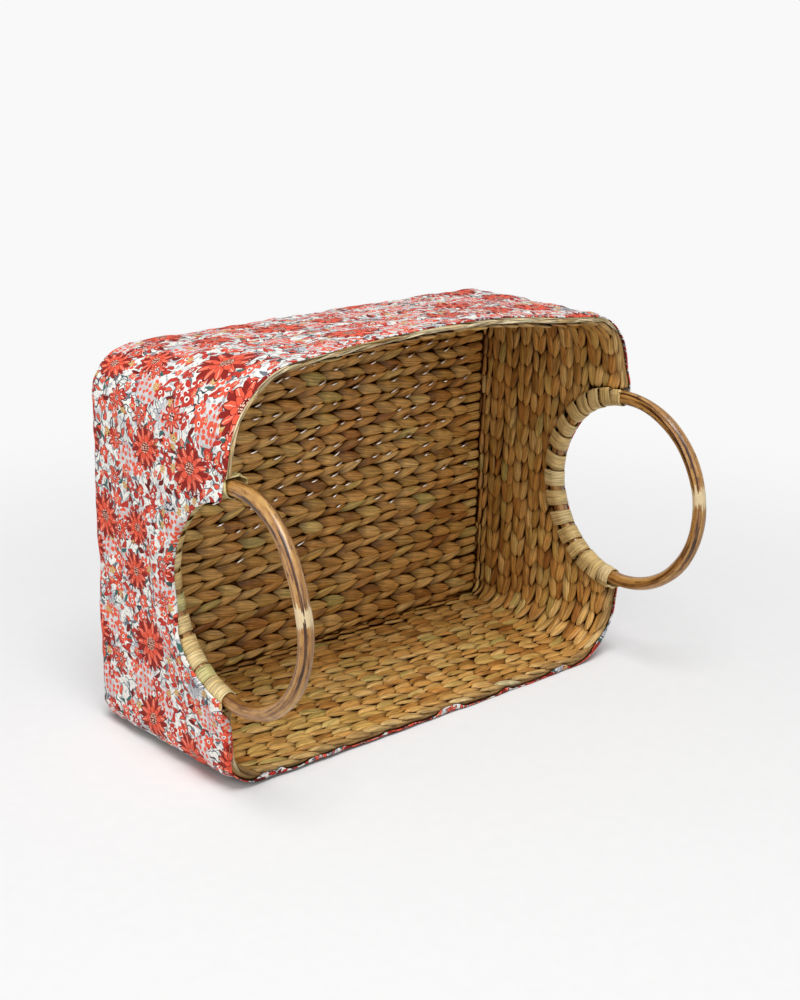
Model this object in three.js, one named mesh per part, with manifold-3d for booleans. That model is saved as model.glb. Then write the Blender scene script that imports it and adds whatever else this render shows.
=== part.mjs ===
// Plaited seagrass basket with a cotton cover and two cane ring handles, lying on one long wall.
// X runs along the basket, Y from the open mouth to the base, Z up from the wall that it lies on.
// All sizes are in millimetres. The origin is under the middle of the whole object.

import * as THREE from 'three';
import { mergeVertices } from 'three/addons/utils/BufferGeometryUtils.js';
import Module from 'manifold-3d';

const wasm = await Module();
wasm.setup();

// Outside of the basket, over the cover
const LENGTH = 360;
const MOUTH_WIDTH = 275;
const TAPER = 13; // the base is narrower than the mouth by this much
const DEPTH = 151;
const UPPER_BOW = 6; // the free long wall arches up by this much at the mouth
const RIM_CORNER_UPPER = 58;
const RIM_CORNER_LOWER = 39;
const BASE_CORNER_UPPER = 30;
const BASE_CORNER_LOWER = 15; // the wall that it lies on is pressed flat
const BASE_EDGE_RADIUS = 11;

// Cover, plait and rim
const COVER_THICKNESS = 1;
const COVER_EDGE_DROP = 0.6; // from the top of the rim strand down to the raw edge of the cover
const BRAID_THICKNESS = 9;
const BRAID_SHOULDER = 3; // how far a braid falls away beside its two crowns
const BRAID_GROOVE = 1.3; // depth of the valley between the two rows of leaves
const BRAID_EASE = 1.6; // rounding of a braid on its covered side
const COURSE_COUNT = 10;
const BASE_BRAID_COUNT = 15;
const RIM_STRAND_WIDTH = 6;
const RIM_STRAND_HEIGHT = 4;

// Ring handles and their lashings
const RING_DIAMETER = 150;
const CANE_DIAMETER = 10;
const RING_CENTRE_OUT = 7; // the ring's centre stands out of the mouth by this much
const RING_HEIGHT = 134; // the ring's centre above the wall that the basket lies on
const LASHING_WIDTH = 9.5;
const LASHING_THICKNESS = 1;
const LASHING_LOOPS = 16;
const LASHING_SPAN = THREE.MathUtils.degToRad(154); // from the first hole round to the last
const LASHING_MARGIN = 4; // from the edge of the cut-out to the holes
const LASHING_BEND = 1.5;

// Gaps between neighbours
const CLEARANCE = 0.3;
const RING_CLEARANCE = 0.5;
const SLOT_CLEARANCE = 0.6;

// Fineness of the facets
const END_STEPS = 2;
const CORNER_STEPS = 5;
const TOP_STEPS = 8;
const BOTTOM_STEPS = 2;
const COVER_STEPS = 4;
const EDGE_STEPS = 5;
const CANE_SIDES = 10;
const RING_STEPS = 40;
const CUT_STEPS = 48;
const BEND_STEPS = 2;
const TURN_STEPS = 6;
const MERGE_DISTANCE = 1e-4;
const GAP_SAMPLES = 4;

// Places that follow from the sizes
const BASE_WIDTH = MOUTH_WIDTH - TAPER;
const COVERED = COVER_THICKNESS + CLEARANCE;
const WALL_THICKNESS = COVERED + BRAID_THICKNESS;
const FIRST_COURSE = RIM_STRAND_HEIGHT + CLEARANCE;
const COURSE_PITCH = (DEPTH - COVERED - FIRST_COURSE) / COURSE_COUNT;
const MAT_INSET = WALL_THICKNESS + CLEARANCE;
const BASE_BRAID_PITCH = (BASE_WIDTH - 2 * MAT_INSET) / BASE_BRAID_COUNT;
const RING_PLANE = LENGTH / 2 - WALL_THICKNESS / 2;
const RING_REACH = RING_CENTRE_OUT + RING_DIAMETER / 2;
const CANE_CENTRE = (RING_DIAMETER - CANE_DIAMETER) / 2;
const CUT_RADIUS = RING_DIAMETER / 2 + RING_CLEARANCE;
const CUT_REACH = CUT_RADIUS - RING_CENTRE_OUT;
const HOLE_RADIUS = CUT_RADIUS + LASHING_MARGIN;
const LASHING_LEG = Math.max(WALL_THICKNESS, CANE_DIAMETER) / 2 + CLEARANCE + LASHING_THICKNESS / 2;
const HALF_WAY = 2 * END_STEPS + 2 * CORNER_STEPS + TOP_STEPS;
const ALL_ROUND = HALF_WAY + 2 * END_STEPS + 2 * CORNER_STEPS + BOTTOM_STEPS;

const SEAGRASS = new THREE.MeshStandardMaterial({ color: 0xc0995c, roughness: 0.62, metalness: 0 });
const STRAW = new THREE.MeshStandardMaterial({ color: 0xd8bf88, roughness: 0.6, metalness: 0 });
const COTTON = new THREE.MeshStandardMaterial({ color: 0xc98d83, roughness: 0.9, metalness: 0 });
const CANE = new THREE.MeshStandardMaterial({ color: 0x8c5a30, roughness: 0.32, metalness: 0 });
const PALM = new THREE.MeshStandardMaterial({ color: 0xdcc691, roughness: 0.5, metalness: 0 });

const basket = new THREE.Group();
basket.position.y = (RING_REACH - DEPTH) / 2;

function place(name, geometry, material) {
  const mesh = new THREE.Mesh(geometry, material);
  mesh.name = name;
  basket.add(mesh);
  return mesh;
}

// Closed body from points and triangles, turned so that its faces point out
function closedBody(points, triangles) {
  const volume = triangles.reduce((sum, [a, b, c]) => {
    const normal = new THREE.Vector3().crossVectors(points[b], points[c]);
    return sum + points[a].dot(normal);
  }, 0);
  const outward = volume > 0 ? triangles : triangles.map(([a, b, c]) => [a, c, b]);
  const geometry = new THREE.BufferGeometry().setFromPoints(points);
  geometry.setIndex(outward.flat());
  geometry.computeVertexNormals();
  return geometry;
}

function toSolid(geometry) {
  const bare = new THREE.BufferGeometry();
  bare.setAttribute('position', geometry.getAttribute('position'));
  bare.setIndex(geometry.getIndex());
  const merged = mergeVertices(bare, MERGE_DISTANCE);
  const vertProperties = Float32Array.from(merged.getAttribute('position').array);
  const triVerts = Uint32Array.from(merged.getIndex().array);
  return new wasm.Manifold(new wasm.Mesh({ numProp: 3, vertProperties, triVerts }));
}

function toGeometry(solid) {
  const { vertProperties, triVerts } = solid.getMesh();
  const geometry = new THREE.BufferGeometry();
  geometry.setAttribute('position', new THREE.BufferAttribute(vertProperties, 3));
  geometry.setIndex(new THREE.BufferAttribute(triVerts, 1));
  geometry.computeVertexNormals();
  return geometry;
}

// The basket's outline at one depth, set in from the outside: a rectangle with rounded corners and an arched
// upper side. It starts on the right end wall at the ring's height, runs up and over to the left end wall, and
// returns along the lower side. Every outline has the same steps, so neighbouring layers stay parallel.
function outline(depth, inset) {
  const share = depth / DEPTH;
  const end = LENGTH / 2 - inset;
  const top = THREE.MathUtils.lerp(MOUTH_WIDTH, BASE_WIDTH, share) - inset;
  const upper = THREE.MathUtils.lerp(RIM_CORNER_UPPER, BASE_CORNER_UPPER, share) - inset;
  const lower = THREE.MathUtils.lerp(RIM_CORNER_LOWER, BASE_CORNER_LOWER, share) - inset;
  const bow = UPPER_BOW * (1 - share);
  const points = [];
  const side = (x0, z0, x1, z1, steps, arch = 0) => {
    for (let i = 0; i < steps; i += 1) {
      const t = i / steps;
      const z = THREE.MathUtils.lerp(z0, z1, t) + 4 * arch * t * (1 - t);
      points.push(new THREE.Vector2(THREE.MathUtils.lerp(x0, x1, t), z));
    }
  };
  const corner = (x, z, radius, quarter) => {
    for (let i = 0; i < CORNER_STEPS; i += 1) {
      const angle = (quarter + i / CORNER_STEPS) * Math.PI / 2;
      points.push(new THREE.Vector2(x + radius * Math.cos(angle), z + radius * Math.sin(angle)));
    }
  };
  side(end, RING_HEIGHT, end, top - upper, END_STEPS);
  corner(end - upper, top - upper, upper, 0);
  side(end - upper, top, upper - end, top, TOP_STEPS, bow);
  corner(upper - end, top - upper, upper, 1);
  side(-end, top - upper, -end, RING_HEIGHT, END_STEPS);
  side(-end, RING_HEIGHT, -end, inset + lower, END_STEPS);
  corner(lower - end, inset + lower, lower, 2);
  side(lower - end, inset, end - lower, inset, BOTTOM_STEPS);
  corner(end - lower, inset + lower, lower, 3);
  side(end, inset + lower, end, RING_HEIGHT, END_STEPS);
  return points;
}

// A band round the basket. Each point of its section is (inset, depth). From the first step to the last, or all
// the way round.
function band(section, first, last) {
  const ordered = THREE.ShapeUtils.isClockWise(section) ? section.slice().reverse() : section;
  const layers = ordered.map((point) => outline(point.y, point.x));
  const width = ordered.length;
  const whole = last - first === ALL_ROUND;
  const rows = whole ? ALL_ROUND : last - first + 1;
  const points = [];
  for (let row = 0; row < rows; row += 1) {
    layers.forEach((layer, j) => {
      const spot = layer[(first + row) % ALL_ROUND];
      points.push(new THREE.Vector3(spot.x, ordered[j].y, spot.y));
    });
  }
  const triangles = [];
  for (let row = 0; row < (whole ? rows : rows - 1); row += 1) {
    const here = row * width;
    const next = ((row + 1) % rows) * width;
    for (let j = 0; j < width; j += 1) {
      const k = (j + 1) % width;
      triangles.push([here + j, next + j, next + k], [here + j, next + k, here + k]);
    }
  }
  if (!whole) {
    const tail = (rows - 1) * width;
    THREE.ShapeUtils.triangulateShape(ordered, []).forEach(([a, b, c]) => {
      triangles.push([a, b, c], [tail + c, tail + b, tail + a]);
    });
  }
  return closedBody(points, triangles);
}

// Where the rounded base edge lies at an inset, this far under the outside of the cover
function edgeDepth(inset, under) {
  const radius = BASE_EDGE_RADIUS - under;
  const across = Math.max(BASE_EDGE_RADIUS - inset, 0);
  return DEPTH - BASE_EDGE_RADIUS + Math.sqrt(radius * radius - across * across);
}

// Section of a flat braid: a plain covered side and two crowns, one for each row of leaves
function braidSection(width) {
  const shoulder = BRAID_THICKNESS - BRAID_SHOULDER;
  return [
    new THREE.Vector2(0, BRAID_EASE),
    new THREE.Vector2(BRAID_EASE, 0),
    new THREE.Vector2(width - BRAID_EASE, 0),
    new THREE.Vector2(width, BRAID_EASE),
    new THREE.Vector2(width, shoulder),
    new THREE.Vector2(width * 3 / 4, BRAID_THICKNESS),
    new THREE.Vector2(width / 2, BRAID_THICKNESS - BRAID_GROOVE),
    new THREE.Vector2(width / 4, BRAID_THICKNESS),
    new THREE.Vector2(0, shoulder),
  ];
}

// Half-round seats of the rings in both end walls
function cutOuts() {
  const plugs = [-1, 1].map((side) => {
    const plug = new THREE.CylinderGeometry(CUT_RADIUS, CUT_RADIUS, 2 * WALL_THICKNESS, CUT_STEPS);
    plug.rotateZ(Math.PI / 2);
    plug.translate(side * RING_PLANE, -RING_CENTRE_OUT, RING_HEIGHT);
    return toSolid(plug);
  });
  return plugs[0].add(plugs[1]);
}

function holeAngle(index) {
  return LASHING_SPAN * (index / LASHING_LOOPS - 1 / 2);
}

// Slots through both end walls, one for each pass of the lashing
function lashingSlots() {
  const low = HOLE_RADIUS - LASHING_BEND - CLEARANCE;
  const high = HOLE_RADIUS + LASHING_THICKNESS / 2 + SLOT_CLEARANCE;
  const long = LASHING_WIDTH + 2 * SLOT_CLEARANCE;
  let slots = null;
  for (const side of [-1, 1]) {
    for (let i = 0; i <= LASHING_LOOPS; i += 1) {
      const slot = new THREE.BoxGeometry(2 * WALL_THICKNESS, high - low, long);
      slot.translate(0, (low + high) / 2, 0);
      slot.rotateX(holeAngle(i));
      slot.translate(side * RING_PLANE, -RING_CENTRE_OUT, RING_HEIGHT);
      const solid = toSolid(slot);
      slots = slots ? slots.add(solid) : solid;
    }
  }
  return slots;
}

const openings = cutOuts().add(lashingSlots());

function pierced(geometry) {
  return toGeometry(toSolid(geometry).subtract(openings));
}

// Walls: courses from the mouth to the base. A course that the cut-outs cut through is two pieces.
function wallCourse(index) {
  const start = FIRST_COURSE + index * COURSE_PITCH;
  const width = COURSE_PITCH - CLEARANCE;
  const name = `wall_course_${index + 1}`;
  const section = braidSection(width).map((point) => new THREE.Vector2(COVERED + point.y, start + point.x));
  if (start + width < CUT_REACH) {
    place(`${name}_upper`, pierced(band(section, 0, HALF_WAY)), SEAGRASS);
    place(`${name}_lower`, pierced(band(section, HALF_WAY, ALL_ROUND)), SEAGRASS);
    return;
  }
  place(name, pierced(band(section, 0, ALL_ROUND)), SEAGRASS);
}

// The last course turns under the rounded edge and holds the base braids inside it
function lastCourse() {
  const start = FIRST_COURSE + (COURSE_COUNT - 1) * COURSE_PITCH;
  const section = [
    new THREE.Vector2(COVERED + BRAID_THICKNESS - BRAID_SHOULDER, start),
    new THREE.Vector2(COVERED + BRAID_EASE, start),
    new THREE.Vector2(COVERED, start + BRAID_EASE),
  ];
  for (let i = 0; i <= EDGE_STEPS; i += 1) {
    const inset = COVERED + BRAID_THICKNESS * (i / EDGE_STEPS) ** 2;
    section.push(new THREE.Vector2(inset, edgeDepth(inset, COVERED)));
  }
  section.push(new THREE.Vector2(WALL_THICKNESS, start + COURSE_PITCH / 4));
  place(`wall_course_${COURSE_COUNT}`, band(section, 0, ALL_ROUND), SEAGRASS);
}

// The room that the last course leaves for the base braids, with its outline taken at one depth
function matRoom(depth) {
  const shape = new THREE.Shape(outline(depth, MAT_INSET));
  const room = new THREE.ExtrudeGeometry(shape, { depth: 2 * BRAID_THICKNESS, bevelEnabled: false });
  room.rotateX(Math.PI / 2);
  room.translate(0, DEPTH - COVERED + BRAID_THICKNESS / 2, 0);
  return toSolid(room);
}

// Base: straight braids along X, trimmed to the room for them at their front and at their back
function baseBraids() {
  const back = DEPTH - COVERED;
  const mat = matRoom(back - BRAID_THICKNESS).intersect(matRoom(DEPTH));
  const upAcrossAlong = new THREE.Matrix4().makeBasis(
    new THREE.Vector3(0, 0, 1),
    new THREE.Vector3(0, -1, 0),
    new THREE.Vector3(1, 0, 0),
  );
  const section = new THREE.Shape(braidSection(BASE_BRAID_PITCH - CLEARANCE));
  for (let i = 0; i < BASE_BRAID_COUNT; i += 1) {
    const bar = new THREE.ExtrudeGeometry(section, { depth: LENGTH, bevelEnabled: false });
    bar.applyMatrix4(upAcrossAlong);
    bar.translate(-LENGTH / 2, back, MAT_INSET + CLEARANCE / 2 + i * BASE_BRAID_PITCH);
    const name = `base_braid_${String(i + 1).padStart(2, '0')}`;
    place(name, toGeometry(toSolid(bar).intersect(mat)), SEAGRASS);
  }
}

// Rim: a straw strand on the edge of the first course, parted by the rings
function rimStrands() {
  const section = [];
  for (let i = 0; i < 8; i += 1) {
    const angle = (i + 0.5) * Math.PI / 4;
    const inset = COVERED + RIM_STRAND_WIDTH / 2 * (1 + Math.cos(angle) / Math.cos(Math.PI / 8));
    const depth = RIM_STRAND_HEIGHT / 2 * (1 + Math.sin(angle) / Math.cos(Math.PI / 8));
    section.push(new THREE.Vector2(inset, depth));
  }
  place('rim_strand_upper', pierced(band(section, 0, HALF_WAY)), STRAW);
  place('rim_strand_lower', pierced(band(section, HALF_WAY, ALL_ROUND)), STRAW);
}

// Cover: one band of cotton round the walls and over the base edge, and a panel under the base
function cover() {
  const outer = [];
  const inner = [];
  for (let i = 0; i < COVER_STEPS; i += 1) {
    const depth = THREE.MathUtils.lerp(COVER_EDGE_DROP, DEPTH - BASE_EDGE_RADIUS, i / COVER_STEPS);
    outer.push(new THREE.Vector2(0, depth));
    inner.push(new THREE.Vector2(COVER_THICKNESS, depth));
  }
  for (let i = 0; i <= EDGE_STEPS; i += 1) {
    const angle = (i / EDGE_STEPS) * Math.PI / 2;
    [[outer, BASE_EDGE_RADIUS], [inner, BASE_EDGE_RADIUS - COVER_THICKNESS]].forEach(([list, radius]) => {
      const inset = BASE_EDGE_RADIUS - radius * Math.cos(angle);
      list.push(new THREE.Vector2(inset, DEPTH - BASE_EDGE_RADIUS + radius * Math.sin(angle)));
    });
  }
  place('cover_side_band', pierced(band([...outer, ...inner.reverse()], 0, ALL_ROUND)), COTTON);
  const shape = new THREE.Shape(outline(DEPTH, BASE_EDGE_RADIUS + CLEARANCE));
  const panel = new THREE.ExtrudeGeometry(shape, { depth: COVER_THICKNESS, bevelEnabled: false });
  panel.rotateX(Math.PI / 2);
  panel.translate(0, DEPTH, 0);
  place('cover_base_panel', panel, COTTON);
}

// One loop of the lashing, seen along the ring: out through the hole, over the cane and back to the next hole.
// Each step gives its distance from the ring's centre, its place across the wall, the way its face points, and
// how far it has moved on towards the next hole.
function lashingLoop() {
  const steps = [];
  const step = (radius, across, angle, share) => steps.push({ radius, across, angle, share });
  const bendRadius = HOLE_RADIUS - LASHING_BEND;
  const bendAcross = LASHING_LEG - LASHING_BEND;
  step(HOLE_RADIUS, -bendAcross, 0, 0);
  for (let i = 0; i <= BEND_STEPS; i += 1) {
    const angle = (i / BEND_STEPS) * Math.PI / 2;
    const radius = bendRadius + LASHING_BEND * Math.cos(angle);
    step(radius, bendAcross + LASHING_BEND * Math.sin(angle), angle, 0);
  }
  for (let i = 0; i <= TURN_STEPS; i += 1) {
    const angle = Math.PI / 2 + (i / TURN_STEPS) * Math.PI;
    const radius = CANE_CENTRE + LASHING_LEG * Math.cos(angle);
    step(radius, LASHING_LEG * Math.sin(angle), angle, 1 / 4 + (i / TURN_STEPS) / 2);
  }
  for (let i = 0; i < BEND_STEPS; i += 1) {
    const angle = 3 * Math.PI / 2 + (i / BEND_STEPS) * Math.PI / 2;
    const radius = bendRadius + LASHING_BEND * Math.cos(angle);
    step(radius, -bendAcross + LASHING_BEND * Math.sin(angle), angle, 1);
  }
  return steps;
}

// The four corners of the strip at every step, from the first hole to the last. Both ends stop in the wall.
function lashingRows(side) {
  const loop = lashingLoop();
  const route = [];
  for (let hole = 0; hole < LASHING_LOOPS; hole += 1) {
    loop.forEach((step) => route.push({ ...step, hole }));
  }
  route.push({ ...loop[0], hole: LASHING_LOOPS }, { ...loop[1], hole: LASHING_LOOPS });
  return route.map(({ radius, across, angle, share, hole }) => {
    const turn = holeAngle(hole + share);
    const outward = new THREE.Vector3(0, Math.cos(turn), Math.sin(turn));
    const along = new THREE.Vector3(0, -Math.sin(turn), Math.cos(turn)).multiplyScalar(LASHING_WIDTH / 2);
    const centre = new THREE.Vector3(side * (RING_PLANE + across), -RING_CENTRE_OUT, RING_HEIGHT);
    centre.addScaledVector(outward, radius);
    const face = new THREE.Vector3(side * Math.sin(angle), 0, 0).addScaledVector(outward, Math.cos(angle));
    face.multiplyScalar(LASHING_THICKNESS / 2);
    return [[1, 1], [-1, 1], [-1, -1], [1, -1]].map(([a, b]) => (
      centre.clone().addScaledVector(along, a).addScaledVector(face, b)
    ));
  });
}

// Least distance between points on different loops of one lashing
function leastGap(rows) {
  const perLoop = lashingLoop().length;
  const samples = [];
  rows.slice(0, -1).forEach((row, i) => {
    row.forEach((point, corner) => {
      for (let s = 0; s < GAP_SAMPLES; s += 1) {
        const spot = point.clone().lerp(rows[i + 1][corner], s / GAP_SAMPLES);
        samples.push({ spot, place: i + s / GAP_SAMPLES });
      }
    });
  });
  let least = Infinity;
  samples.forEach((a, i) => {
    for (let j = i + 1; j < samples.length; j += 1) {
      const b = samples[j];
      if (b.place - a.place > perLoop / 2 && b.place - a.place < 2 * perLoop) {
        least = Math.min(least, a.spot.distanceTo(b.spot));
      }
    }
  });
  return least;
}

function ringAndLashing(name, side) {
  const ring = new THREE.TorusGeometry(CANE_CENTRE, CANE_DIAMETER / 2, CANE_SIDES, RING_STEPS);
  ring.rotateY(Math.PI / 2);
  const handle = place(`ring_handle_${name}`, ring, CANE);
  handle.position.set(side * RING_PLANE, -RING_CENTRE_OUT, RING_HEIGHT);

  const rows = lashingRows(side);
  const corners = rows[0].length;
  const tail = (rows.length - 1) * corners;
  const triangles = [[0, 1, 2], [0, 2, 3], [tail + 2, tail + 1, tail], [tail + 3, tail + 2, tail]];
  for (let row = 0; row < rows.length - 1; row += 1) {
    for (let j = 0; j < corners; j += 1) {
      const here = row * corners;
      const k = (j + 1) % corners;
      const next = here + corners;
      triangles.push([here + j, next + j, next + k], [here + j, next + k, here + k]);
    }
  }
  place(`ring_lashing_${name}`, closedBody(rows.flat(), triangles), PALM);
  console.log(`ring_lashing_${name}: least gap to itself ${leastGap(rows).toFixed(2)} mm`);
}

for (let index = 0; index < COURSE_COUNT - 1; index += 1) {
  wallCourse(index);
}
lastCourse();
baseBraids();
rimStrands();
cover();
ringAndLashing('left', -1);
ringAndLashing('right', 1);

export default basket;
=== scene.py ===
# Plaited seagrass basket with a printed cotton cover and two cane ring handles, lying on one long wall.
# Shapes are worked out in millimetres from the mouth plane (Y runs from the mouth to the base) and put into
# the shared frame, in metres, when a piece is made.
import math

import bpy
import numpy as np
from mathutils import Matrix, Vector


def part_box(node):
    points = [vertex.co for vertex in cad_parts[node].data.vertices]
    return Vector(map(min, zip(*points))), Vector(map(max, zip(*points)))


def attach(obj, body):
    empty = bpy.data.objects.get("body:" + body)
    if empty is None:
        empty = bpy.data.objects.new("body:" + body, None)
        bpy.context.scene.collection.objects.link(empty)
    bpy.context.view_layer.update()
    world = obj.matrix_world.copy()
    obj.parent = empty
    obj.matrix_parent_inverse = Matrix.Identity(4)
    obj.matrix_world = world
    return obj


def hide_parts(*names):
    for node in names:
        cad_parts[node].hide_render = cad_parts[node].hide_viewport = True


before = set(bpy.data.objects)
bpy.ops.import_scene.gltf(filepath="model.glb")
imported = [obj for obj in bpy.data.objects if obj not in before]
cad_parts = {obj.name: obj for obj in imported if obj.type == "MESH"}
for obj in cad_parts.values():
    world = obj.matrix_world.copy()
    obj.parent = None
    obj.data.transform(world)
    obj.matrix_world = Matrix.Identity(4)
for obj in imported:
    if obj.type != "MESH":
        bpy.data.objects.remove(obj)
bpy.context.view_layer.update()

MM = 0.001
TURN = 2 * math.pi
QUARTER = math.pi / 2
TINY = 1e-6
PHASE_LIMIT = 6.3  # phases are drawn from nought to about a full turn
MOUTH_PLACE = -34.5  # the mouth plane's Y in the shared frame
rng = np.random.default_rng(20)

# Sizes that the scene shares with the solids
LENGTH = 360.0
MOUTH_WIDTH = 275.0
TAPER = 13.0  # the base is narrower than the mouth by this much
DEPTH = 151.0
UPPER_BOW = 6.0
RIM_CORNER_UPPER = 58.0
BASE_CORNER_UPPER = 30.0
BASE_CORNER_LOWER = 15.0
BASE_EDGE_RADIUS = 11.0
COVER_EDGE_DROP = 0.6
CLEARANCE = 0.3
COVERED = 1.3  # cover and clearance
COURSE_COUNT = 10
BASE_BRAID_COUNT = 15
FIRST_COURSE = 4.3
COURSE_PITCH = (DEPTH - COVERED - FIRST_COURSE) / COURSE_COUNT
MAT_INSET = 10.6
BASE_WIDTH = MOUTH_WIDTH - TAPER
BASE_BRAID_PITCH = (BASE_WIDTH - 2 * MAT_INSET) / BASE_BRAID_COUNT
RING_HEIGHT = 134.0
RING_PLANE = 174.85
RING_CENTRE_OUT = 7.0
CANE_CENTRE = 70.0
CANE_RADIUS = 5.0
CUT_RADIUS = 75.5
HOLE_RADIUS = 79.5
LASHING_LOOPS = 16
LASHING_LEG = 5.95
LASHING_BEND = 1.5

# Irregularities of the photographed basket, which the solids leave out
RIM_CORNER_UPPER_RIGHT = 32.0
RIM_CORNER_LEFT = 30.0
RIM_CORNER_RIGHT = 44.0
CORNER_LEAN = 5.0  # the upper left corner of the mouth leans in by this much
CORNER_LEAN_RIGHT = 12.0  # the upper right corner is tighter, leans in more and sags
CORNER_SAG_RIGHT = 6.0
RING_LEAN = 5.0  # the left ring leans in with its corner at its upper end
RING_FLAT = 3.0  # and is bent a little flatter on its upper outer side
RIM_LIFT = 2.0  # the left half of the front edge lifts off the floor
EDGE_FLARE = 2.8  # the edge of the mouth stands out beside the right ring
COVER_CUT = 69.0  # the cotton is drawn over the outer legs of the lashings, up to the rings
COVER_CUT_ABOVE = 66.5
COVER_CUT_LEFT = 62.5  # above the left ring it hides the cane
COVER_LIFT = 2.5
LASHING_SPAN = math.radians(172)
LASHING_GATHER = 0.22  # the loops lie closer together at both ends of a lashing

# Where these fade in and out: stretches of the outline, heights above the rings' middle, shares of the depth
TOP_STRETCH = (3.0, 4.0)
BOTTOM_STRETCH = (10.0, 11.0)
LEAN_STRETCH = (3.4, 4.5)
LEAN_HEIGHT = (49.0, 92.0)
LEAN_RIGHT_STRETCH = (3.5, 2.9)
LEAN_RIGHT_HEIGHT = (75.0, 141.0)
SAG_IN = (1.6, 2.9)
SAG_OUT = (3.4, 3.0)
LIFT_IN = (9.0, 9.7)
LIFT_OUT = (10.8, 10.1)
LIFT_DEPTH = (0.16, 0.0)
MOUTH_FADE = 1.3
FLARE_REACH = (96.0, 80.0)
RING_LEAN_HEIGHT = (15.0, 75.0)

END_WALL = LENGTH / 2 - 30.0  # leaves beyond this x belong to an end wall
END_FACE = LENGTH / 2 - 12.0  # spots beyond this x lie on an end wall's face


def mix(a, b, t):
    return a + (b - a) * t


def smooth(low, high, value):
    """0 at low and 1 at high, with soft ends. low may be the larger one."""
    t = np.clip((value - low) / (high - low), 0, 1)
    return t * t * (3 - 2 * t)


def hump(fade_in, fade_out, value):
    return smooth(*fade_in, value) * smooth(*fade_out, value)


def stacked(*parts):
    """Points or attributes from their three parts."""
    return np.stack(np.broadcast_arrays(*parts), axis=-1)


# The basket's outline
SEGMENTS = 14
LEFT_RING = 7  # the stretch that starts at the left ring's height
RING_HALF = 76.0  # the stretches beside a ring reach this far above and below its middle
ARC_STEPS = 40
ARC_END = SEGMENTS - 1e-9


def wall_point(u, depth, inset):
    """Points of the rounded outline. u counts its 14 stretches from the right ring's height, up and over."""
    u, depth, inset = np.broadcast_arrays(np.mod(np.asarray(u, float), SEGMENTS), depth, inset)
    share = depth / DEPTH
    end = LENGTH / 2 - inset
    top = MOUTH_WIDTH - TAPER * share - inset
    upper_corner = mix(RIM_CORNER_UPPER_RIGHT, RIM_CORNER_UPPER, smooth(*TOP_STRETCH, u))
    upper = mix(upper_corner, BASE_CORNER_UPPER, share) - inset
    lower_corner = mix(RIM_CORNER_LEFT, RIM_CORNER_RIGHT, smooth(*BOTTOM_STRETCH, u))
    lower = mix(lower_corner, BASE_CORNER_LOWER, share) - inset
    bow = UPPER_BOW * (1 - share)
    stretch = np.minimum(np.floor(u).astype(int), SEGMENTS - 1)
    t = u - stretch
    high = RING_HEIGHT + RING_HALF
    low = RING_HEIGHT - RING_HALF
    cosine = np.cos(t * QUARTER)
    sine = np.sin(t * QUARTER)
    foot = inset + lower
    x = np.choose(stretch, [
        end, end, end - upper + upper * cosine, mix(end - upper, upper - end, t), upper - end - upper * sine,
        -end, -end, -end, -end, lower - end - lower * cosine, mix(lower - end, end - lower, t),
        end - lower + lower * sine, end, end])
    z = np.choose(stretch, [
        mix(RING_HEIGHT, high, t), mix(high, top - upper, t), top - upper + upper * sine,
        top + 4 * bow * t * (1 - t), top - upper + upper * cosine, mix(top - upper, high, t),
        mix(high, RING_HEIGHT, t), mix(RING_HEIGHT, low, t), mix(low, foot, t), foot - lower * sine, inset,
        foot - lower * cosine, mix(foot, low, t), mix(low, RING_HEIGHT, t)])
    rise = z - RING_HEIGHT
    near_mouth = np.clip(1 - share, 0, 1) ** MOUTH_FADE
    leaning = CORNER_LEAN * smooth(*LEAN_HEIGHT, rise) * smooth(*LEAN_STRETCH, u)
    leaning_right = CORNER_LEAN_RIGHT * smooth(*LEAN_RIGHT_HEIGHT, rise) * smooth(*LEAN_RIGHT_STRETCH, u)
    sagging = CORNER_SAG_RIGHT * hump(SAG_IN, SAG_OUT, u)
    lifted = RIM_LIFT * hump(LIFT_IN, LIFT_OUT, u) * smooth(*LIFT_DEPTH, share)
    x = x + (leaning - leaning_right) * near_mouth
    z = z + lifted - sagging * near_mouth
    return np.stack([x, depth, z], axis=-1)


class Arc:
    """Lengths along the outline at one depth and inset."""

    def __init__(self, depth, inset):
        self.u = np.linspace(0, SEGMENTS, SEGMENTS * ARC_STEPS + 1)
        spots = wall_point(np.minimum(self.u, ARC_END), depth, inset)
        steps = np.linalg.norm(np.diff(spots, axis=0), axis=1)
        self.length = np.concatenate([[0], np.cumsum(steps)])
        self.total = self.length[-1]

    def u_at(self, s):
        return np.interp(np.mod(s, self.total), self.length, self.u)

    def s_at(self, u):
        return np.interp(u, self.u, self.length)


def ring_reach(points):
    """How far points are from the line through the middles of both rings."""
    return np.hypot(points[..., 1] + RING_CENTRE_OUT, points[..., 2] - RING_HEIGHT)


def clear_of_rings(points, radius):
    """Moves points of the end walls that are inside a ring's cut-out out to its edge."""
    reach = ring_reach(points)
    inside = (np.abs(points[..., 0]) > END_WALL) & (reach < radius)
    grow = np.where(inside, radius / np.maximum(reach, TINY), 1.0)
    moved = points.copy()
    moved[..., 1] = (points[..., 1] + RING_CENTRE_OUT) * grow - RING_CENTRE_OUT
    moved[..., 2] = (points[..., 2] - RING_HEIGHT) * grow + RING_HEIGHT
    return moved


def flared(points):
    """Beside the right ring the edge of the mouth stands out with the cotton."""
    moved = points.copy()
    moved[..., 0] += EDGE_FLARE * smooth(*FLARE_REACH, ring_reach(points)) * (points[..., 0] > END_FACE)
    return moved


# Meshes
def put_in_scene(name, data):
    thing = bpy.data.objects.new(name, data)
    bpy.context.scene.collection.objects.link(thing)
    return thing


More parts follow.
